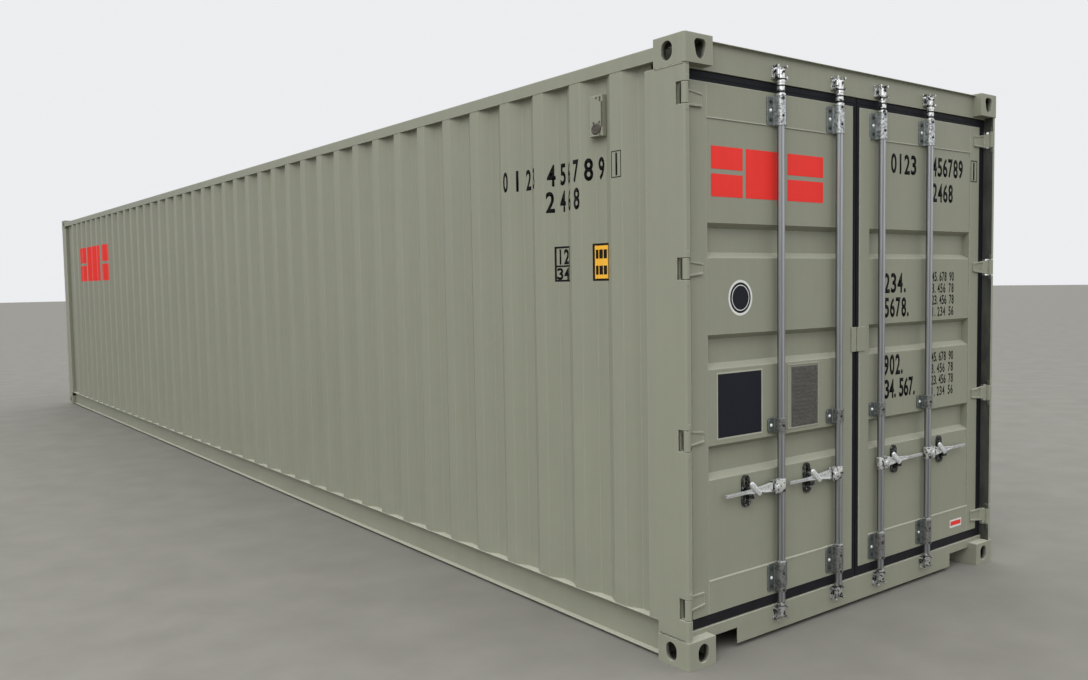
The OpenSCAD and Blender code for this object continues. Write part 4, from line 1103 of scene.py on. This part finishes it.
@dataclass
class HandleLugs:
    """Slanted lug on the front of each handle, above its catch."""

    materials: Materials
    long: float = 0.092
    wide: float = 0.024
    thick: float = 0.007
    lean: float = 42.0
    tilt: float = 16.0
    rise: float = 0.012

    def build(self) -> None:
        """Builds the lug of each handle."""
        for side, reach in ((Side.LEFT, 0.188), (Side.RIGHT, 0.118)):
            for bar in Bar:
                piece = Workpiece(f"{side.name.lower()}_{bar.name.lower()}_handle_lug")
                lug = self.lug()
                turn = (Matrix.Rotation(math.radians(self.lean), 4, "Y")
                        @ Matrix.Rotation(math.radians(self.tilt), 4, "X"))
                place = Matrix.Translation((bar.at(side) + side.value * reach, PLAN.at_depth(0.0145),
                                            PLAN.handle_z + self.rise))
                piece.take(lug, place @ turn)
                lug.free()
                body = f"{side.name.lower()}_{bar.name.lower()}_handle"
                piece.finish(body, Slot.GALVANIZED, self.materials.cast, 35)

    def lug(self) -> Mesh:
        """Makes an oblong plate with rounded ends and a rounded front edge."""
        half = (self.long - self.wide) / 2
        round_end = self.wide / 2
        ends = [(half, math.radians(angle)) for angle in range(-90, 91, 30)]
        ends += [(-half, math.radians(angle)) for angle in range(90, 271, 30)]
        shape = solid(flat_shape([(x + round_end * math.cos(a), round_end * math.sin(a)) for x, a in ends]),
                      self.thick)
        rim = [e for e in shape.edges if all(v.co.y < -self.thick / 2 for v in e.verts)]
        bevel(shape, rim, 0.0062, 3)
        return shape


@dataclass
class BarHeads:
    """Pivot heads on the hubs of the lock bars, and dark discs on the cams that paint the shade of dimples.
    """

    materials: Materials
    pivot_x: float = 0.038
    cheek: float = 0.013
    head: float = 0.0095
    eye: float = 0.0040
    cam_zs: tuple[float, float] = (0.103, 2.508)

    def build(self) -> None:
        """Builds the heads of every bar."""
        for side in Side:
            for bar in Bar:
                self.bar(side, bar)

    def bar(self, side: Side, bar: Bar) -> None:
        """Sets the heads of one bar: a ring that shines and a dark middle."""
        name = bar.body(side)
        x = bar.at(side)
        pivot = x + side.value * self.pivot_x
        ring = turned([(self.head, -0.0005), (self.head, 0.002), (self.head * 0.75, 0.0035),
                       (self.eye, 0.0035), (self.eye, -0.0005)])
        eye = turned([(0.0, -0.0005), (self.eye, -0.0005), (self.eye, 0.0010), (0.0, 0.0014)])
        # Painted shade: a dark disc stands in for the shade of a dimple in the front of each cam.
        dimple_shade = turned([(0.0, -0.004), (0.0065, -0.004), (0.0065, 0.0008), (0.0, 0.0012)])
        rings, eyes_and_dimple_shade = Workpiece(f"{name}_pivot_ring"), Workpiece(f"{name}_dark_eyes")
        rings.take(ring, facing_doors(pivot, self.cheek, PLAN.handle_z))
        eyes_and_dimple_shade.take(eye, facing_doors(pivot, self.cheek, PLAN.handle_z))
        for z in self.cam_zs:
            eyes_and_dimple_shade.take(dimple_shade, facing_doors(x, PLAN.bar_in - 0.017, z))
        rings.finish(name, Slot.GALVANIZED, self.materials.cast, 40)
        eyes_and_dimple_shade.finish(name, Slot.GALVANIZED, self.materials.dark_steel, 40)


@dataclass
class GasketRibs:
    """Raised rib along the front fin of each door gasket."""

    materials: Materials
    width: float = 0.005
    proud: float = 0.0015
    low: float = 0.1630
    high: float = 2.4420

    def build(self) -> None:
        """Builds a frame of ribs round each leaf."""
        for side in Side:
            near, far = sorted((side.value * 0.0145, side.value * 1.163))
            outline = border(near - self.width / 2, far + self.width / 2, self.low, self.high, self.width)
            rib = solid(outline, self.proud + 0.001)
            piece = Workpiece(f"{side.name.lower()}_gasket_rib")
            piece.take(rib, Matrix.Translation((0.0, PLAN.at_depth(PLAN.fin_face + 0.001), 0.0)))
            piece.finish(side.door, Slot.RUBBER, self.materials.rubber)


@dataclass
class PanelSeams:
    """Sealant along the lower and upper edge of the panel of each leaf."""

    materials: Materials
    low: float = 0.328
    high: float = 2.280
    near: float = 0.105
    far: float = 1.040

    def build(self) -> None:
        """Builds the seams of both leaves."""
        for side in Side:
            piece = Workpiece(f"{side.name.lower()}_panel_seams")
            near, far = sorted((side.value * self.near, side.value * self.far))
            for z, height in ((self.low - 0.001, 0.0075), (self.high - 0.004, 0.005)):
                seam = solid(rectangle(near, far, z, z + height), 0.0055)
                top = [e for e in seam.edges
                       if all(v.co.y < -0.005 and v.co.z > z + height / 2 for v in e.verts)]
                bevel(seam, top, 0.0035, 2)
                piece.take(seam, Matrix.Translation((0.0, PLAN.at_depth(PLAN.panel_face + 0.001), 0.0)))
                seam.free()
            piece.finish(side.door, Slot.PAINT, self.materials.caulk, 40)


@dataclass
class WeldBeads:
    """Rippled fillet welds where the posts stand on and hang from the corner fittings."""

    materials: Materials
    ledge: float = 0.0028
    rise: float = 0.008
    ripple: float = 0.0045
    waist: float = 0.82

    def build(self) -> None:
        """Builds the welds of the four corners."""
        piece = Workpiece("post_welds")
        side_run = self.bead(PLAN.fitting_l - 0.020)
        end_run = self.bead(0.014)
        for sx in (-1, 1):
            for sy in (-1, 1):
                for low in (True, False):
                    z = PLAN.fitting_h if low else PLAN.height - PLAN.fitting_h
                    flip = Matrix.Diagonal((1, 1, 1 if low else -1, 1))
                    corner = Matrix.Translation((sx * PLAN.width / 2, sy * PLAN.length / 2, z))
                    turn = Matrix.Diagonal((-sx, -sy, 1, 1))
                    piece.take(side_run, corner @ turn @ Matrix.Translation((PLAN.skin, 0.014, 0.0)) @ flip)
                    if sy < 0:
                        swap = Matrix(((0, 1, 0, 0.013), (1, 0, 0, PLAN.post_face), (0, 0, 1, 0),
                                       (0, 0, 0, 1)))
                        piece.take(end_run, corner @ turn @ swap @ flip)
        for run in (side_run, end_run):
            run.free()
        piece.finish("container", Slot.PAINT, self.materials.paint, 60)

    def bead(self, length: float) -> Mesh:
        """Makes one bead that runs along Y, with its root at X = 0 and Z = 0 and its belly towards minus X.

        Args:
            length: Length of the weld.

        Returns:
            The closed, rippled bead.
        """
        mesh = bmesh.new()
        arc = [(-self.ledge * math.cos(a), self.rise * math.sin(a))
               for a in (math.radians(30 * s) for s in range(4))]
        corners = [mesh.verts.new((x, 0.0, z)) for x, z in [(0.0008, 0.0), *arc, (0.0008, self.rise)]]
        end = mesh.faces.new(corners)
        count = max(2, round(length / self.ripple) * 2)
        for step in range(count):
            made = bmesh.ops.extrude_face_region(mesh, geom=[end])["geom"]
            end = next(g for g in made if isinstance(g, bmesh.types.BMFace))
            bmesh.ops.translate(mesh, verts=list(end.verts), vec=(0.0, length / count, 0.0))
            swell = 1 / self.waist if step % 2 else self.waist
            if step < count - 1:
                bmesh.ops.scale(mesh, vec=(swell, 1.0, swell), verts=list(end.verts))
        return mesh


@dataclass
class VentTrim:
    """Screws, a dark side strip of painted shade, grille and drip of the ventilators, on both walls."""

    materials: Materials
    middle: float = 0.556
    low: float = 2.250
    face: float = 0.013

    def build(self) -> None:
        """Builds the trim of both ventilators."""
        dark, light = Workpiece("ventilator_openings"), Workpiece("ventilator_trim")
        screw = dome_rivet(0.0055, 0.0030)
        # Painted shade: a dark strip along the side of each ventilator.
        slot = solid(rectangle(-0.004, 0.004, 0.040, 0.150), 0.0018)
        cup = turned([(0.031, -0.0005), (0.031, 0.004), (0.026, 0.008), (0.020, 0.009), (0.016, 0.006),
                      (0.010, 0.006), (0.006, 0.009), (0.0, 0.009)], 24)
        lip = solid(rectangle(-0.034, 0.034, 0.0, 0.004), 0.0105)
        spout = turned([(0.0, -0.0005), (0.006, -0.0005), (0.006, 0.007), (0.0, 0.008)], 10)
        for side in Side:
            at = self.on_wall(side)
            dark.take(slot, at @ Matrix.Translation((0.054 - 0.0155, 0.0, 0.0)))
            flatter = Matrix.Diagonal((1.0, 1.0, 0.8, 1.0))
            dark.take(cup, at @ Matrix.Translation((0.002, 0.0, 0.033)) @ flatter @ FRONTWARDS)
            for along, z in ((0.002, 0.169), (0.026, 0.169), (0.026, 0.158), (-0.018, 0.062), (0.022, 0.062)):
                dark.take(screw, at @ Matrix.Translation((along, -0.0005, z)) @ FRONTWARDS)
            light.take(lip, at @ Matrix.Translation((0.0, 0.0, 0.001)))
            dark.take(spout, at @ Matrix.Translation((0.020, -0.001, 0.008)) @ FRONTWARDS)
        for shape in (screw, slot, cup, lip, spout):
            shape.free()
        dark.finish("container", Slot.PAINT, self.materials.brown, 40)
        light.finish("container", Slot.PAINT, self.materials.paint)

    def on_wall(self, side: Side) -> Matrix:
        """Place of a shape drawn in X, towards the doors, and Z from the foot of a ventilator."""
        x = side.value * (PLAN.width / 2 - self.face)
        return Matrix(((0, -side.value, 0, x), (-1, 0, 0, PLAN.at_depth(self.middle)), (0, 0, 1, self.low),
                       (0, 0, 0, 1)))


@dataclass
class PlateTrim:
    """Backing, rivets and rows of plain blocks of the data plate."""

    materials: Materials
    left: float = -0.487
    right: float = -0.297
    low: float = 0.932
    high: float = 1.207
    face: float = 0.0535
    rows: tuple[tuple[float, ...], ...] = (
        (0.9,), (0.5, 0.3), (0.35, 0.5), (0.6,), (0.3, 0.3, 0.2), (0.7,), (0.25, 0.6), (0.45, 0.35), (0.8,),
        (0.3, 0.45), (0.55, 0.2), (0.4,))

    def build(self) -> None:
        """Builds the three pieces on the left leaf."""
        body = Side.LEFT.door
        backing = Workpiece("data_plate_backing")
        outline = border(self.left - 0.030, self.right + 0.008, self.low - 0.008, self.high + 0.014, 0.007)
        edge = solid(outline, 0.003)
        backing.take(edge, Matrix.Translation((0.0, PLAN.at_depth(PLAN.panel_face + 0.001), 0.0)))
        backing.finish(body, Slot.PAINT, self.materials.paint)
        rivets = Workpiece("data_plate_rivets")
        rivet = dome_rivet(0.0045, 0.003)
        for x, z in ((0.012, 0.012), (0.095, 0.012), (0.178, 0.012), (0.178, 0.105), (0.178, 0.195),
                     (0.178, 0.263), (0.095, 0.263), (0.012, 0.263), (0.012, 0.195), (0.012, 0.105)):
            rivets.take(rivet, facing_doors(self.left + x, self.face, self.low + z))
        rivets.finish(body, Slot.PLATE, self.materials.plate, 40)
        marks = DoorMarks("data_plate", body, lift=0.0002, coat=0.0002, depth=self.face)
        shapes = []
        pitch = (self.high - self.low - 0.055) / len(self.rows)
        for place, row in enumerate(self.rows):
            x, z = self.left + 0.022, self.high - 0.030 - place * pitch
            for share in row:
                wide = share * (self.right - self.left - 0.050)
                shapes.append(rectangle(x, x + wide, z - 0.008, z))
                x += wide + 0.006
        marks.lay("rows", shapes, self.materials.brown, Slot.PLATE)


@dataclass
class FloorScrews:
    """Screws that hold the boards to the cross members."""

    materials: Materials
    first: float = -5.590
    pitch: float = 0.405
    count: int = 29
    across: tuple[float, ...] = (0.10, 0.31, 0.52, 0.73, 0.94, 1.12)

    def build(self) -> None:
        """Builds all the screws as one piece."""
        screw = turned([(0.0, -0.001), (0.0050, -0.001), (0.0050, 0.0), (0.0035, 0.0006), (0.0015, 0.0)], 8)
        piece = Workpiece("floor_screws")
        for step in range(self.count):
            for x in self.across:
                for sx in (-1, 1):
                    along = self.first + step * self.pitch
                    piece.take(screw, Matrix.Translation((sx * x, along, PLAN.floor_z)))
        screw.free()
        piece.finish("container", Slot.GALVANIZED, self.materials.cast, 40)


@dataclass
class Studio:
    """Camera, overcast light and a plain pale floor."""

    eye: Point = (-3.970, -8.763, 1.606)
    yaw: float = 37.29
    pitch: float = -3.45
    roll: float = -0.93
    focal: float = 945.1 / 1088.0 * 36.0
    zenith: float = 2.27
    lean: float = 0.12

    def build(self) -> None:
        """Builds the camera, the lamps, the world and the floor."""
        self.camera()
        self.world()
        self.lamp("side_softbox", (-9.0, -11.0, 8.0), (0.0, -4.5, 1.2), 5.0, 380.0)
        self.floor()

    def camera(self) -> None:
        """Places the camera where the photograph was taken."""
        yaw, pitch, roll = (math.radians(a) for a in (self.yaw, self.pitch, self.roll))
        ahead = Vector((math.sin(yaw) * math.cos(pitch), math.cos(yaw) * math.cos(pitch), math.sin(pitch)))
        right = ahead.cross(Vector((0.0, 0.0, 1.0))).normalized()
        above = right.cross(ahead)
        right, above = (right * math.cos(roll) + above * math.sin(roll),
                        above * math.cos(roll) - right * math.sin(roll))
        turn = Matrix((right, above, -ahead)).transposed().to_4x4()
        data = bpy.data.cameras.new("camera")
        data.lens, data.sensor_width, data.clip_end = self.focal, 36.0, 500.0
        camera = bpy.data.objects.new("camera", data)
        camera.matrix_world = Matrix.Translation(self.eye) @ turn
        bpy.context.scene.collection.objects.link(camera)
        bpy.context.scene.camera = camera

    def world(self) -> None:
        """Lights the container like an overcast sky, brighter overhead and a little to the left."""
        world = bpy.data.worlds.new("overcast")
        world.use_nodes = True
        sheet = Sheet(world.node_tree)
        path = sheet.add("LightPath").outputs
        seen = sheet.math("MAXIMUM", sheet.math("MAXIMUM", path["Is Camera Ray"], path["Is Glossy Ray"]),
                          path["Is Transmission Ray"])
        way = sheet.add("SeparateXYZ", {0: sheet.add("TexCoord").outputs["Generated"]}).outputs
        rise = sheet.math("MAXIMUM", way["Z"], 0.0)
        over = sheet.math("MULTIPLY", sheet.math("MULTIPLY_ADD", rise, 2.0, 1.0), self.zenith / 3)
        tilt = sheet.math("MULTIPLY_ADD", way["X"], -self.lean, 1.0)
        strength = sheet.math("MULTIPLY", over, tilt)
        sky = sheet.add("Background", {"Color": (0.96, 0.98, 1.0, 1.0), "Strength": strength})
        backdrop = sheet.add("Background", {"Color": (0.84, 0.85, 0.87, 1.0), "Strength": 1.0})
        both = sheet.add("MixShader", {0: seen, 1: sky.outputs[0], 2: backdrop.outputs[0]})
        sheet.add("OutputWorld", {"Surface": both.outputs[0]})
        bpy.context.scene.world = world

    @staticmethod
    def lamp(name: str, place: Point, target: Point, size: float, power: float) -> None:
        """Adds a square soft lamp that looks at a point."""
        data = bpy.data.lights.new(name, "AREA")
        data.size, data.energy = size, power
        lamp = bpy.data.objects.new(name, data)
        lamp.matrix_world = (Matrix.Translation(place)
                             @ (Vector(target) - Vector(place)).to_track_quat("-Z", "Y").to_matrix().to_4x4())
        bpy.context.scene.collection.objects.link(lamp)

    def floor(self) -> None:
        """Lays a plain pale floor that the container stands on."""
        mesh = bmesh.new()
        bmesh.ops.create_grid(mesh, x_segments=2, y_segments=2, size=150.0)
        data = bpy.data.meshes.new("studio_floor")
        mesh.to_mesh(data)
        mesh.free()
        material = bpy.data.materials.new("studio_floor")
        material.use_nodes = True
        sheet = Sheet(material.node_tree)
        tone = sheet.spread(sheet.noise(sheet.place(), 3.0, 6.0), 0.3, 0.7, 0.0, 1.0)
        color = sheet.mix(tone, (0.178, 0.170, 0.148, 1.0), (0.205, 0.196, 0.172, 1.0))
        values = {"Base Color": color, "Roughness": 0.85, "Specular IOR Level": 0.2}
        shader = sheet.add("BsdfPrincipled", values)
        sheet.add("OutputMaterial", {"Surface": shader.outputs[0]})
        data.materials.append(material)
        floor = bpy.data.objects.new("studio_floor", data)
        bpy.context.scene.collection.objects.link(floor)


def dress_nodes(materials: Materials) -> None:
    """Gives every CAD node its finish."""
    for name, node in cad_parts.items():
        node.data.materials.clear()
        node.data.materials.append(materials.dress(name))
        LOG.info("%s: finish %s", name, node.data.materials[0].name)


def main() -> None:
    """Builds the studio, dresses the nodes and adds the pieces in order."""
    logging.basicConfig(level=logging.INFO, format="%(message)s")
    bpy.context.scene.view_settings.view_transform = "Standard"
    Studio().build()
    materials = Materials()
    dress_nodes(materials)
    for group in (DoorMarkings, WallMarkings, BracketFasteners, HandleLugs, BarHeads, GasketRibs, PanelSeams,
                  WeldBeads, VentTrim, PlateTrim, FloorScrews):
        group(materials).build()
        LOG.info("%s done", group.__name__)


if __name__ == "__main__":
    main()
